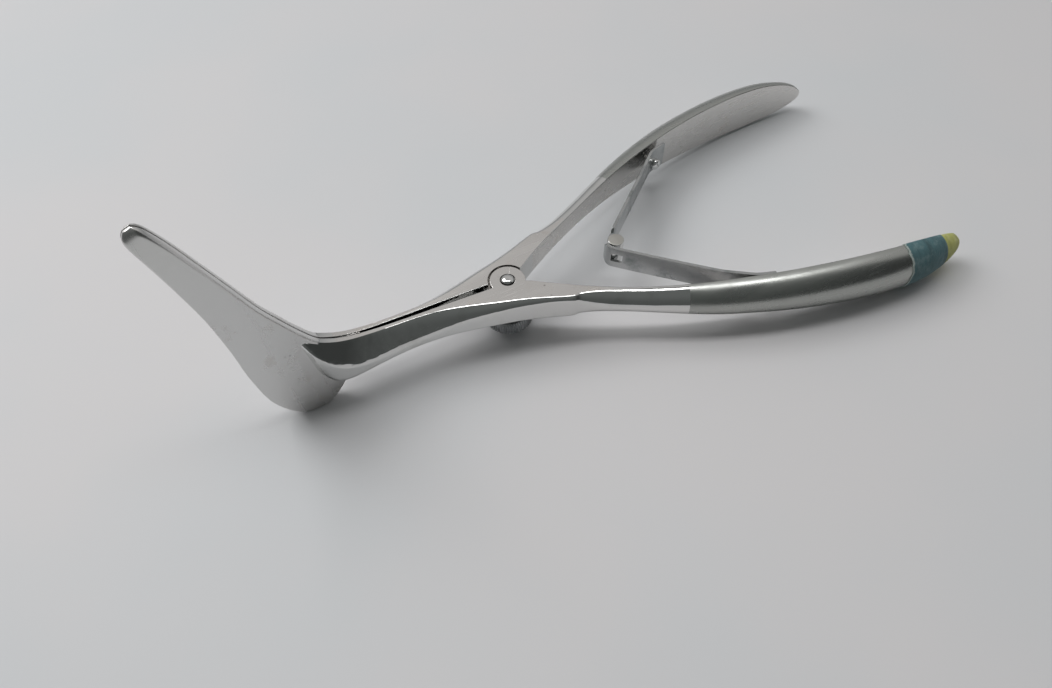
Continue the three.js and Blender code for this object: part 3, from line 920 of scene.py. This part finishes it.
@dataclass
class HingeHalf:
    """One half: blade, heel, shank, joint cheek with its boss and recess, and handle."""

    side: Side
    guide: Guide
    bench: Bench
    last_place: float
    boss_radius: float = 4.2
    recess_radius: float = 4.7
    bore_radius: float = 1.6
    counterbore_radius: float = 1.85
    counterbore_depth: float = 1.9
    blade_face: float = 0.15
    blade_thickness: float = 1.6
    blade_edge: float = 0.55
    grip_from: float = 16.35

    def body_mesh(self) -> bmesh.types.BMesh:
        """Returns the shank, cheek and handle as one lofted bar."""
        bm = bmesh.new()
        step = 1.0 / self.guide.per_row
        rings = self.guide.rings(self.side, 0.0, self.last_place, step)
        stations = [i * self.last_place / (len(rings) - 1) for i in range(len(rings))]
        grip, polished = Finish.GRIP.value, Finish.POLISHED.value
        loft(bm, rings, [grip if s > self.grip_from else polished for s in stations])
        return bm

    def blade_mesh(self) -> bmesh.types.BMesh:
        """Returns the blade and heel plate, thinned and crowned towards the tip."""
        bm = bmesh.new()
        count = (len(BLADE_BACK) - 1) * 6
        rings = []
        for index in range(count + 1):
            share = index / count
            place = index / 6
            back, front = through(BLADE_BACK, place), through(BLADE_FRONT, place)
            rings.append(self.blade_ring(Vector(back), Vector(front), share))
        loft(bm, rings, [Finish.BLADE.value] * len(rings))
        return bm

    def blade_ring(self, back: Vector, front: Vector, share: float) -> list[Vector]:
        """One section across the blade.

        Args:
            back: Point of the back edge, as x and z.
            front: Point of the front edge.
            share: How far along the blade, from 0 at the shank to 1 at the tip.

        Returns:
            The points round the section.
        """
        chord = back - front
        width = chord.length
        root = min(share / 0.2, 1.0)
        thick = self.blade_thickness * (1 - 0.35 * share**4) * (0.15 + 0.85 * root * root * (3 - 2 * root))
        crown = min(max((share - 0.86) / 0.14, 0.0), 1.0)
        thick *= math.sqrt(max(1 - 0.94 * crown**2.2, 0.0))
        across = min(self.blade_edge + 2.6 * max(share - 0.55, 0.0) ** 1.5, width * 0.45)
        corner = min(0.16, thick * 0.3, width * 0.05)
        points: list[tuple[float, float]] = []
        bend(points, (corner, corner), (corner, corner), (180, 270), 3, 2.0)
        run(points, (width - corner, 0.0), 4)
        bend(points, (width - corner, corner), (corner, corner), (270, 360), 3, 2.0)
        bend(points, (width - across, corner + 0.02), (across, thick - corner - 0.02), (0, 90), 12, 2.2)
        run(points, (across, thick), 8)
        bend(points, (across, corner + 0.02), (across, thick - corner - 0.02), (90, 180), 12, 2.2)
        chord.normalize()
        return [
            Vector((
                front.x + chord.x * u,
                self.side.value * (self.blade_face + v),
                front.y + chord.y * u,
            ))
            for u, v in points
        ]

    def solid(self, name: str, bm: bmesh.types.BMesh, materials: list) -> bpy.types.Object:
        """A helper solid for joining or cutting, in the row frame.

        Args:
            name: Its name.
            bm: Its mesh, which is freed.
            materials: The half's material slots.

        Returns:
            The solid.
        """
        return self.bench.lay(bm, name, materials, smooth=False)

    def cylinder(
        self, radius: float, bottom: float, top: float, edge: float, finish: Finish, materials: list
    ) -> bpy.types.Object:
        """A round tool on the pivot axis.

        Args:
            radius: Its radius.
            bottom: Height of its bottom.
            top: Height of its top.
            edge: Radius of its rims.
            finish: Finish of the surface that it leaves.
            materials: The half's material slots.

        Returns:
            The tool.
        """
        bm = bmesh.new()
        turned(bm, rounded(radius, bottom, top, edge), 96)
        for face in bm.faces:
            face.material_index = finish.value
        return self.solid("tool", bm, materials)

    def build(self, materials: list, hole: "SpringScrew") -> bpy.types.Object:
        """Builds the half.

        Args:
            materials: Materials in the order of Finish.
            hole: The spring's screw, for which a hole is drilled.

        Returns:
            The finished piece.
        """
        name = f"{self.side.word}_forging"
        half = self.solid(name, self.body_mesh(), materials)
        combine(half, self.solid("tool", self.blade_mesh(), materials), "UNION")
        layer = -JOINT_DEPTH / 2
        gap = GAP / 2
        upper = self.side is Side.LEFT
        shy = 0.004
        boss = (layer + gap, -shy) if upper else (shy - JOINT_DEPTH, layer - gap)
        recess = (-JOINT_DEPTH - 1, layer + gap) if upper else (layer - gap, 1.0)
        pocket = self.cylinder(self.recess_radius, *recess, 0.02, Finish.JOINT, materials)
        combine(half, pocket, "DIFFERENCE")
        combine(half, self.cylinder(self.boss_radius, *boss, 0.12, Finish.JOINT, materials), "UNION")
        bore = self.cylinder(self.bore_radius, -JOINT_DEPTH - 1, 1.0, 0.02, Finish.POLISHED, materials)
        combine(half, bore, "DIFFERENCE")
        if upper:
            seat = (-self.counterbore_depth, 1.0)
            sink = self.cylinder(self.counterbore_radius, *seat, 0.02, Finish.POLISHED, materials)
            combine(half, sink, "DIFFERENCE")
        combine(half, hole.drill(materials), "DIFFERENCE")
        self.dress(half)
        return half

    def dress(self, half: bpy.types.Object) -> None:
        """Gives the ground joint faces their own finish and shades the piece.

        Args:
            half: The joined and cut half.
        """
        up = self.bench.heading(Vector((0.0, 0.0, 1.0)))
        inward = self.bench.heading(Vector((0.2, -self.side.value, 0.0)))
        inverse = self.bench.matrix.inverted()
        for polygon in half.data.polygons:
            place = inverse @ polygon.center
            flat = abs(polygon.normal.dot(up))
            level = flat > (0.995 if place.x > -30.0 else 0.93)
            cheek = level and -43.0 < place.x < 21.0 and place.z > -JOINT_DEPTH - 0.5
            palm = place.x > 9.0 and polygon.normal.dot(inward) > 0.9
            if cheek or palm:
                polygon.material_index = Finish.JOINT.value
        shade(half.data)
        weigh_normals(half)
        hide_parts(f"{self.side.word}_half")
        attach(half, f"{self.side.word}_side")


# Springs.


@dataclass
class Seat:
    """The flat spot on a handle's inner face that carries the spring's foot."""

    side: Side
    guide: Guide
    start_place: float = 18.08
    end_place: float = 18.8
    gap: float = 0.35

    def __post_init__(self) -> None:
        """Works out the seat's corner, its direction along the handle and its inward normal."""
        start, end = (self.guide.section(p, self.side) for p in (self.start_place, self.end_place))
        sign = self.side.value
        self.origin = Vector((start.inner_x, sign * start.inner_y))
        self.along = (Vector((end.inner_x, sign * end.inner_y)) - self.origin).normalized()
        self.inward = Vector((self.along.y, -self.along.x)) * sign

    def point(self, along: float, inward: float) -> Vector:
        """A plan point beside the seat.

        Args:
            along: Distance along the seat.
            inward: Distance in from it.

        Returns:
            The point.
        """
        return self.origin + self.along * along + self.inward * inward


@dataclass
class SpringScrew:
    """The screw that holds a spring's foot: domed slotted head and plain shaft."""

    seat: Seat
    bench: Bench
    place: float = 2.2
    height: float = -4.1
    head: float = 1.55
    shaft: float = 0.9
    bite: float = 2.9
    strip: float = 0.75
    rim: float = 0.8
    crown: float = 1.7

    def turn(self) -> Matrix:
        """Takes the screw's own axis, +Z, to its place on the handle.

        Returns:
            The transform.
        """
        spot = self.seat.point(self.place, 0.0)
        inward = Vector((self.seat.inward.x, self.seat.inward.y, 0.0))
        lean = Vector((0.0, 0.0, 1.0)).rotation_difference(inward).to_matrix().to_4x4()
        return Matrix.Translation((spot.x, spot.y, self.height)) @ lean

    def drill(self, materials: list) -> bpy.types.Object:
        """Makes the tool for the screw's clearance hole in the handle.

        Args:
            materials: The half's material slots.

        Returns:
            The tool.
        """
        bm = bmesh.new()
        turned(bm, rounded(self.shaft + GAP, -self.bite - GAP, 3.0, 0.02), 32)
        for face in bm.faces:
            face.material_index = Finish.GRIP.value
        bm.transform(self.turn())
        return self.bench.lay(bm, "tool", materials, smooth=False)

    def build(self, material: bpy.types.Material) -> bpy.types.Object:
        """Builds the screw.

        Args:
            material: Its material.

        Returns:
            The finished piece.
        """
        bm = bmesh.new()
        under = self.seat.gap + self.strip + GAP
        shoulder = under + self.rim
        dome = [math.radians(9 * i) for i in range(11)]
        head = [
            (self.head * math.cos(a), shoulder + (self.crown - self.rim) * math.sin(a)) for a in dome
        ]
        edge = 0.1
        profile = [
            (0.0, -self.bite), (self.shaft - edge, -self.bite), (self.shaft, -self.bite + edge),
            (self.shaft, under), (self.head - edge, under), (self.head, under + edge), *head,
        ]
        profile[-1] = (0.0, profile[-1][1])
        turned(bm, profile, 48)
        bm.transform(self.turn())
        screw = self.bench.lay(bm, f"{self.seat.side.word}_foot_screw", [material])
        slot = bmesh.new()
        bmesh.ops.create_cube(slot, size=1.0)
        bmesh.ops.scale(slot, vec=(0.42, 4.0, 1.0), verts=slot.verts)
        bmesh.ops.translate(slot, vec=(0.0, 0.0, under + self.crown + 0.05), verts=slot.verts)
        bmesh.ops.rotate(slot, matrix=Matrix.Rotation(0.7, 3, "Z"), verts=slot.verts)
        slot.transform(self.turn())
        combine(screw, self.bench.lay(slot, "tool", [material], smooth=False), "DIFFERENCE")
        shade(screw.data)
        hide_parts(f"{self.seat.side.word}_spring_screw")
        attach(screw, f"{self.seat.side.word}_side")
        return screw


@dataclass
class LeafSpring:
    """One leaf spring, a single strip from its foot on the handle to its end at the barrel."""

    seat: Seat
    bench: Bench
    knuckle: Vector = field(default_factory=lambda: Vector((28.8, 0.0)))
    barrel_radius: float = 1.85
    thickness: float = 0.75
    height: float = 6.2
    top: float = 0.2
    foot_rise: float = 0.9
    foot_start: float = 0.8
    foot_length: float = 4.6
    low_round: float = 2.2
    high_round: float = 0.8
    curl: float = 0.95

    @property
    def is_left(self) -> bool:
        """Whether this is the windowed leaf that the barrel moves with.

        Returns:
            True for the left leaf.
        """
        return self.seat.side is Side.LEFT

    def root(self) -> Vector:
        """Plan point where the leaf starts to bend.

        Returns:
            The point.
        """
        return self.seat.point(self.foot_start - 1.5 * GAP, self.seat.gap + self.thickness / 2)

    def plan(self) -> list[Vector]:
        """The strip's middle line, from its end at the barrel to the foot's end.

        Returns:
            Its plan points.
        """
        root = self.root()
        reach = (root - self.knuckle).normalized()
        sign = self.seat.side.value
        outside = Vector((-reach.y * sign, reach.x * sign))
        clear, short, bow = (GAP, 0.0, 0.4) if self.is_left else (0.45, 1.0, 0.0)
        radius = self.barrel_radius + self.thickness / 2 + clear
        end = self.knuckle + outside * radius + reach * short
        middle = root.lerp(end, 0.5) + outside * bow
        leaf = [
            end * (1 - t) ** 2 + middle * 2 * t * (1 - t) + root * t**2
            for t in (index / 60 for index in range(61))
        ]
        foot_end = self.foot_start + self.foot_length
        inward = self.seat.gap + self.thickness / 2
        foot = [
            self.seat.point(self.foot_start + (foot_end - self.foot_start) * i / 8, inward)
            for i in range(1, 9)
        ]
        turns = [self.curl * (1 - i / 8) for i in range(8)] if self.is_left else []
        curl = [self.knuckle + (outside * math.cos(a) - reach * math.sin(a)) * radius for a in turns]
        line = curl + leaf + foot
        for _ in range(6):
            inner = [(a + b * 2 + c) / 4 for a, b, c in zip(line, line[1:], line[2:])]
            line = [line[0], *inner, line[-1]]
        return line

    def stations(self, length: float) -> list[float]:
        """Places at which the strip gets a row of points.

        Args:
            length: Length of the strip.

        Returns:
            Distances from the strip's end.
        """
        if self.is_left:
            turns = [math.radians(8 + 7.4 * i) for i in range(12)]
            low = {self.low_round * (1 - math.cos(a)) for a in turns}
            high = {self.high_round * (1 - math.cos(a)) for a in turns[::3]}
            return sorted({0.0, *low, *high, 2.6, 3.4, 4.2, 5.0, *self.even(5.6, length, 56)})
        return [0.0, 0.7, 1.4, 2.0, 2.45, 2.9, *self.even(3.4, length, 56)]

    @staticmethod
    def even(start: float, end: float, count: int) -> list[float]:
        """Evenly spaced distances.

        Args:
            start: First distance.
            end: Last distance.
            count: Number of steps.

        Returns:
            The distances.
        """
        return [start + (end - start) * i / count for i in range(count + 1)]

    def edges(self, distance: float, to_foot: float) -> tuple[float, float]:
        """Heights of the strip's lower and upper edge.

        Args:
            distance: Distance from the strip's end at the barrel.
            to_foot: Distance still to go to the foot.

        Returns:
            The two heights.
        """
        low, high = self.top - self.height, self.top
        if self.is_left:
            low += self.corner(self.low_round, distance)
            high -= self.corner(self.high_round, distance)
        else:
            inset = min(max((2.9 - distance) / 0.9, 0.0), 1.0)
            low, high = low + inset, high - inset
        t = min(max((9.0 - to_foot) / 9.0, 0.0), 1.0)
        return low, high + self.foot_rise * t * t * (3 - 2 * t)

    @staticmethod
    def corner(radius: float, distance: float) -> float:
        """How much a rounded corner takes off an edge.

        Args:
            radius: Radius of the corner.
            distance: Distance from the strip's end.

        Returns:
            The height taken off.
        """
        gap = max(radius - distance, 0.0)
        return radius - math.sqrt(radius**2 - gap**2)

    def build(self, material: bpy.types.Material) -> bpy.types.Object:
        """Builds the strip from its foot on the handle to its end at the barrel.

        Args:
            material: Its material.

        Returns:
            The finished piece.
        """
        line = self.plan()
        walked = [0.0]
        for a, b in zip(line, line[1:]):
            walked.append(walked[-1] + (b - a).length)
        foot_from = walked[len(line) - 9]
        bm = bmesh.new()
        column: list = []
        window = []
        for distance in self.stations(walked[-1] - 0.001):
            index = min(max(i for i, w in enumerate(walked) if w <= distance), len(line) - 2)
            share = (distance - walked[index]) / (walked[index + 1] - walked[index])
            spot = line[index].lerp(line[index + 1], share)
            along = (line[index + 1] - line[index]).normalized()
            spot = spot + Vector((along.y, -along.x)) * self.thickness / 2
            low, high = self.edges(distance, foot_from - distance)
            middle = self.top - self.height / 2
            sills = (low, max(low + 0.02, middle - 1.25), min(high - 0.02, middle + 1.25), high)
            places = [Vector((spot.x, spot.y, height)) for height in sills]
            if not column:
                column = [bm.verts.new(place) for place in places]
                for pair in zip(column, column[1:]):
                    bm.edges.new(pair)
                continue
            edges = [bm.edges.get(pair) for pair in zip(column, column[1:])]
            made = bmesh.ops.extrude_edge_only(bm, edges=edges)["geom"]
            fresh = {g for g in made if isinstance(g, bmesh.types.BMVert)}
            column = [next(e.other_vert(v) for e in v.link_edges if e.other_vert(v) in fresh) for v in column]
            for vert, place in zip(column, places):
                vert.co = place
            if self.is_left and 2.3 < distance < 5.05:
                inner = {column[1], column[2]}
                window += [g for g in made if isinstance(g, bmesh.types.BMFace) and inner <= set(g.verts)]
        bmesh.ops.delete(bm, geom=window, context="FACES")
        bmesh.ops.recalc_face_normals(bm, faces=bm.faces)
        faces = list(bm.faces)
        bmesh.ops.solidify(bm, geom=faces, thickness=self.thickness)
        strip = self.bench.lay(bm, f"{self.seat.side.word}_leaf_strip", [material])
        edge = strip.modifiers.new("eased_edges", "BEVEL")
        edge.width = 0.09 * MM
        edge.segments = 3
        edge.limit_method = "ANGLE"
        edge.angle_limit = math.radians(50)
        edge.harden_normals = True
        word = self.seat.side.word
        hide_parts(f"{word}_spring_leaf", f"{word}_spring_foot")
        root = self.root()
        reach = (self.knuckle - root).normalized()
        start, end = root - reach * 0.4, root + reach * 5.0
        height = self.top - self.height / 2
        tuple(self.bench.point(start.x, start.y, height))
        tuple(self.bench.point(end.x, end.y, height))
        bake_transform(strip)
        return strip


@dataclass
class Barrel:
    """The barrel that links the two leaves."""

    bench: Bench
    spring: LeafSpring
    radius: float = 1.95
    height: float = 6.4
    top: float = 0.5

    def build(self, end_finish: bpy.types.Material, wall_finish: bpy.types.Material) -> bpy.types.Object:
        """Builds the barrel.

        Args:
            end_finish: Material of its ends.
            wall_finish: Material of its wall.

        Returns:
            The finished piece.
        """
        bm = bmesh.new()
        turned(bm, rounded(self.radius, self.top - self.height, self.top, 0.14), 64)
        bm.normal_update()
        for face in bm.faces:
            if abs(face.normal.z) < 0.8:
                face.material_index = 1
        knuckle = self.spring.knuckle
        bmesh.ops.translate(bm, vec=(knuckle.x, knuckle.y, 0.0), verts=bm.verts)
        barrel = self.bench.lay(bm, "link_barrel", [end_finish, wall_finish])
        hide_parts("spring_barrel")
        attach(barrel, "left_leaf")
        return barrel


# Pivot.


@dataclass
class Pivot:
    """The pivot screw and the knurled thumb nut; the washer between them is the CAD node."""

    bench: Bench
    head: float = 1.55
    shaft: float = 1.3
    dome: float = 0.75
    length: float = 13.0
    seat_depth: float = 1.6
    nut_radius: float = 6.0
    nut_bore: float = 1.6
    hub_radius: float = 3.0
    nut_top: float = -7.8
    disc_top: float = -9.9
    nut_bottom: float = -13.4
    knurls: int = 56
    knurl_depth: float = 0.28
    rim_slope: float = 0.45

    def screw(self, material: bpy.types.Material) -> bpy.types.Object:
        """Builds the domed pivot screw.

        Args:
            material: Its material.

        Returns:
            The finished piece.
        """
        angles = [math.radians(7.5 * i) for i in range(13)]
        crown = [(self.head * math.cos(a), self.dome * math.sin(a)) for a in angles]
        crown[-1] = (0.0, self.dome)
        profile = [
            (0.0, -self.length), (self.shaft - 0.2, -self.length), (self.shaft, -self.length + 0.2),
            (self.shaft, -self.seat_depth), (self.head, -self.seat_depth), *crown,
        ]
        bm = bmesh.new()
        turned(bm, profile, 64)
        screw = self.bench.lay(bm, "pivot_pin", [material])
        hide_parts("pivot_screw")
        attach(screw, "left_side")
        return screw

    def nut(self, material: bpy.types.Material) -> bpy.types.Object:
        """Builds the thumb nut: a knurled disc with sloped rims, a groove and a plain hub.

        Args:
            material: Its material.

        Returns:
            The finished piece.
        """
        bm = bmesh.new()
        per_knurl = 4
        count = self.knurls * per_knurl
        levels = [
            (self.nut_bottom, self.rim_slope, 0.3), (self.nut_bottom + self.rim_slope, 0.0, 1.0),
            (self.disc_top - self.rim_slope, 0.0, 1.0), (self.disc_top, self.rim_slope, 0.3),
        ]
        rings = []
        for height, inset, cut in levels:
            ring = []
            for i in range(count):
                angle = math.tau * i / count
                groove = self.knurl_depth * cut * (0.5 - 0.5 * math.cos(self.knurls * angle))
                radius = self.nut_radius - inset - groove
                ring.append(Vector((radius * math.cos(angle), radius * math.sin(angle), height)))
            rings.append(ring)
        loft(bm, rings)
        nut = self.bench.lay(bm, "knurled_nut", [material], smooth=False)
        parts = [
            ([(0.0, self.disc_top - 1), (self.hub_radius, self.disc_top - 1),
              (self.hub_radius, self.nut_top - 0.2), (self.hub_radius - 0.2, self.nut_top),
              (0.0, self.nut_top)], "UNION"),
            ([(4.0, self.nut_bottom - 1), (4.6, self.nut_bottom - 1), (4.6, self.nut_bottom + 0.3),
              (4.0, self.nut_bottom + 0.3)], "DIFFERENCE"),
            ([(0.0, self.nut_bottom - 1), (self.nut_bore + 0.9, self.nut_bottom - 1),
              (self.nut_bore, self.nut_bottom + 0.5), (self.nut_bore, 0.0), (0.0, 0.0)], "DIFFERENCE"),
        ]
        for profile, operation in parts:
            tool = bmesh.new()
            turned(tool, profile, 72)
            combine(nut, self.bench.lay(tool, "tool", [material], smooth=False), operation)
        nut.data.polygons.foreach_set("use_smooth", [True] * len(nut.data.polygons))
        nut.data.set_sharp_from_angle(angle=math.radians(28))
        weigh_normals(nut)
        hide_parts("thumb_nut")
        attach(nut, "nut")
        return nut


# Marking tape.


@dataclass
class Wraps:
    """The teal band and the yellow end wrap on the left handle."""

    guide: Guide
    bench: Bench
    band: tuple[float, float] = (21.55, 22.98)
    tip: tuple[float, float] = (22.9, 25.2)
    lift: float = 0.14

    def fringe(self, index: int, count: int, reach: float) -> float:
        """A ragged offset round a wrap's edge.

        Args:
            index: Point on the edge.
            count: Number of points round it.
            reach: Size of the offset.

        Returns:
            The offset, in rows of the table.
        """
        a = math.tau * index / count
        waves = 0.5 * math.sin(3 * a + 0.8) + 0.3 * math.sin(8 * a) + 0.16 * math.sin(15 * a + 2.0)
        return reach * waves

    def skin(
        self, name: str, span: tuple, lift: float, ragged: float,
        finish: bpy.types.Material, node: str,
    ) -> bpy.types.Object:
        """A wrap's skin over the handle.

        Args:
            name: The piece's name.
            span: Its first and last place in the table of sections.
            lift: Height of its outer face over the steel.
            ragged: How far its first edge wanders.
            finish: Its material.
            node: The CAD node that it stands for.

        Returns:
            The finished piece.
        """
        bm = bmesh.new()
        count = 40
        rings = []
        fray = []
        for step in range(count + 1):
            share = step / count
            place = span[0] + (span[1] - span[0]) * share
            base = self.guide.section(place, Side.LEFT).outline(Side.LEFT, lift)
            early = self.guide.section(place - 0.1, Side.LEFT).outline(Side.LEFT, lift)
            fade = max(1 - share * 5, 0.0)
            size = len(base)
            ring = [
                p.lerp(q, self.fringe(i, size, ragged) * fade * 10)
                for i, (p, q) in enumerate(zip(base, early))
            ]
            rings.append(ring)
            fray.append(max(1 - share * 14, 0.0) if ragged else 0.0)
        loft(bm, rings)
        layer = bm.verts.layers.float.new("fray")
        size = len(rings[0])
        bm.verts.index_update()
        for vert in bm.verts:
            vert[layer] = fray[min(vert.index // size, count)]
        caps = sorted((f for f in bm.faces if len(f.verts) > 4), key=lambda f: f.calc_center_median().x)
        first = caps[0]
        bmesh.ops.inset_region(bm, faces=[first], thickness=0.3, use_even_offset=True)
        moved = bmesh.ops.extrude_face_region(bm, geom=[first])["geom"]
        hollow = [g for g in moved if isinstance(g, bmesh.types.BMVert)]
        bmesh.ops.translate(bm, vec=(0.8, 0.0, 0.0), verts=hollow)
        bmesh.ops.delete(bm, geom=[first], context="FACES")
        piece = self.bench.lay(bm, name, [finish])
        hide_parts(node)
        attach(piece, "left_side")
        return piece

    def build(self, teal: bpy.types.Material, yellow: bpy.types.Material) -> list:
        """Builds the two wraps; the band overlaps the end wrap's start.

        Args:
            teal: The band's material.
            yellow: The end wrap's material.

        Returns:
            The two finished pieces.
        """
        band = self.skin("teal_band", self.band, self.lift + 0.06, 0.03, teal, "colour_band")
        tip = self.skin("yellow_tip", self.tip, self.lift, 0.0, yellow, "tip_wrap")
        return [band, tip]


# Setting.


@dataclass
class Studio:
    """Table, soft light and the camera."""

    bench: Bench
    distance: float = 197.778
    elevation: float = 53.124
    heading: float = 25.574
    slide_right: float = 4.278
    slide_up: float = -14.946
    lens: float = 29.09
    horizon_light: float = 0.28
    wall_light: float = 0.48
    roof_light: float = 0.20
    shade_light: float = 0.12
    table_front: float = 0.0968
    below_light: float = 0.50

    def axes(self) -> tuple[Vector, Vector, Vector]:
        """The camera's directions in instrument axes.

        Returns:
            Its right, up and viewing directions.
        """
        turn, lift = math.radians(self.heading), math.radians(self.elevation)
        right = Vector((math.cos(turn), -math.sin(turn), 0.0))
        level = Vector((math.sin(turn), math.cos(turn), 0.0))
        up = level * math.sin(lift) + Vector((0.0, 0.0, math.cos(lift)))
        ahead = level * math.cos(lift) - Vector((0.0, 0.0, math.sin(lift)))
        return right, up, ahead

    def camera(self) -> None:
        """Makes the camera and sets it as the scene's."""
        right, up, ahead = self.axes()
        spot = right * self.slide_right + up * self.slide_up - ahead * self.distance
        data = bpy.data.cameras.new("camera")
        data.lens = self.lens
        data.sensor_width = 36.0
        data.clip_start = 0.005
        camera = bpy.data.objects.new("camera", data)
        bpy.context.scene.collection.objects.link(camera)
        turn = Matrix([self.bench.heading(v) for v in (right, up, -ahead)]).transposed()
        camera.matrix_world = Matrix.Translation(self.bench.matrix @ spot) @ turn.to_4x4()
        bpy.context.scene.camera = camera

    def world(self) -> None:
        """Lights the room: pale far wall and roof, and a dark side behind the viewer."""
        world = bpy.data.worlds.new("room")
        bpy.context.scene.world = world
        world.use_nodes = True
        tree = world.node_tree
        source = tree.nodes.new("ShaderNodeTexCoord")
        split = tree.nodes.new("ShaderNodeSeparateXYZ")
        tree.links.new(source.outputs["Generated"], split.inputs["Vector"])
        level, sideways = self.floor_axes()
        dot = tree.nodes.new("ShaderNodeVectorMath")
        dot.operation = "DOT_PRODUCT"
        dot.inputs[1].default_value = (-level.x, -level.y, 0.0)
        tree.links.new(source.outputs["Generated"], dot.inputs[0])
        horizon, wall, roof, below = (
            tuple(light * c for c in tint)
            for light, tint in (
                (self.horizon_light, (0.97, 1.0, 1.02)),
                (self.wall_light, (1.0, 0.99, 0.98)),
                (self.roof_light, (1.0, 1.0, 1.0)),
                (self.below_light, (0.98, 1.0, 1.0)),
            )
        )
        height = split.outputs["Z"]
        lower = mix_colour(tree, range_node(tree, height, 0.0, 0.6, 0.0, 1.0), horizon, wall)
        bright = mix_colour(tree, range_node(tree, height, 0.84, 0.94, 0.0, 1.0), lower, roof)
        near = range_node(tree, dot.outputs["Value"], 0.02, 0.16, 0.0, 1.0)
        dim = range_node(tree, height, 0.1, 0.9, 0.8, 1.2)
        aside = tree.nodes.new("ShaderNodeVectorMath")
        aside.operation = "DOT_PRODUCT"
        aside.inputs[1].default_value = sideways
        tree.links.new(source.outputs["Generated"], aside.inputs[0])
        corner = range_node(tree, aside.outputs["Value"], 0.45, 0.75, 1.0, 0.5)
        dim = math_node(tree, "MULTIPLY", dim, corner)
        shade_colour = tree.nodes.new("ShaderNodeVectorMath")
        shade_colour.operation = "SCALE"
        shade_colour.inputs[0].default_value = tuple(self.shade_light * c for c in (0.94, 1.0, 0.98))
        tree.links.new(dim, shade_colour.inputs["Scale"])
        mixed = mix_colour(tree, near, bright, shade_colour.outputs["Vector"])
        under = range_node(tree, height, -0.44, -0.34, 1.0, 0.0)
        whole = mix_colour(tree, under, mixed, below)
        tree.links.new(whole, tree.nodes["Background"].inputs["Color"])

    def floor_axes(self) -> tuple[Vector, Vector]:
        """The viewer's level directions.

        Returns:
            Directions away from the viewer and to the right.
        """
        right, _, ahead = self.axes()
        level = self.bench.heading(Vector((ahead.x, ahead.y, 0.0)))
        sideways = self.bench.heading(right)
        return tuple(Vector((v.x, v.y, 0.0)).normalized() for v in (level, sideways))

    def lamp(self, name: str, spot: tuple, size: tuple, power: float) -> None:
        """Adds a rectangular area light aimed at the instrument.

        Args:
            name: The light's name.
            spot: Its place, in metres from the table's centre: right, away from the viewer, up.
            size: Its width from left to right and its depth.
            power: Its power in watts.
        """
        level, sideways = self.floor_axes()
        place = sideways * spot[0] + level * spot[1] + Vector((0.0, 0.0, spot[2]))
        data = bpy.data.lights.new(name, "AREA")
        data.shape = "RECTANGLE"
        data.size, data.size_y = size
        data.energy = power
        light = bpy.data.objects.new(name, data)
        back = place.normalized()
        side = (sideways - back * sideways.dot(back)).normalized()
        turn = Matrix((side, back.cross(side), back)).transposed().to_4x4()
        light.matrix_world = Matrix.Translation(place) @ turn
        bpy.context.scene.collection.objects.link(light)

    def table(self) -> None:
        """Makes the pale table top, which ends a hand's width in front of the instrument."""
        bm = bmesh.new()
        bmesh.ops.create_grid(bm, x_segments=1, y_segments=1, size=1.5)
        level, sideways = self.floor_axes()
        turn = Matrix((sideways, level, Vector((0.0, 0.0, 1.0)))).transposed().to_4x4()
        bmesh.ops.translate(bm, vec=(0.0, 1.5 - self.table_front, 0.0), verts=bm.verts)
        bm.transform(turn)
        mesh = bpy.data.meshes.new("table")
        bm.to_mesh(mesh)
        bm.free()
        material, tree, shader = blank_material("pale_table")
        shader.inputs["Roughness"].default_value = 0.55
        shader.inputs["Specular IOR Level"].default_value = 0.25
        cloud = noise_node(tree, object_vector(tree), 9.0, 3.0)
        mask = range_node(tree, cloud, 0.35, 0.65, 0.0, 1.0)
        tree.links.new(
            mix_colour(tree, mask, (0.600, 0.612, 0.625), (0.632, 0.622, 0.628)), shader.inputs["Base Color"]
        )
        mesh.materials.append(material)
        floor = bpy.data.objects.new("table", mesh)
        bpy.context.scene.collection.objects.link(floor)

    def build(self) -> None:
        """Sets up the table, light and camera."""
        self.table()
        self.world()
        self.lamp("ceiling_tube", (0.02, 0.10, 0.85), (0.70, 0.17), 2.1)
        self.lamp("window_panel", (-0.50, 0.22, 0.66), (0.50, 0.50), 3.4)
        self.camera()
        scene = bpy.context.scene
        scene.view_settings.view_transform = "Standard"


def main() -> None:
    """Builds the pieces in order and reports each one."""
    logging.basicConfig(level=logging.INFO, format="%(message)s")
    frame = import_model()
    bench = Bench.from_record(frame["record"])
    guide = Guide()
    finishes = [steel.build() for steel in (BLADE_STEEL, POLISHED_STEEL, JOINT_STEEL, GRIP_STEEL)]
    screw_steel, spring_steel, nut_steel = (s.build() for s in (SCREW_STEEL, SPRING_STEEL, NUT_STEEL))
    springs = {}
    for side, last_place in ((Side.LEFT, 24.4), (Side.RIGHT, len(SECTIONS) - 1.0)):
        seat = Seat(side, guide)
        screw = SpringScrew(seat, bench)
        half = HingeHalf(side, guide, bench, last_place).build(finishes, screw)
        LOG.info("built %s", half.name)
        springs[side] = LeafSpring(seat, bench)
        for piece in (screw.build(screw_steel), springs[side].build(spring_steel)):
            LOG.info("built %s", piece.name)
    barrel = Barrel(bench, springs[Side.LEFT]).build(BARREL_STEEL.build(), screw_steel)
    LOG.info("built %s", barrel.name)
    pivot = Pivot(bench)
    for piece in (pivot.screw(screw_steel), pivot.nut(nut_steel)):
        LOG.info("built %s", piece.name)
    washer = frame["nodes"]["lock_washer"]
    washer.data.materials.clear()
    washer.data.materials.append(nut_steel)
    for piece in Wraps(guide, bench).build(TEAL_TAPE.build(), YELLOW_TAPE.build()):
        LOG.info("built %s", piece.name)
    Studio(bench).build()


if __name__ == "__main__":
    main()
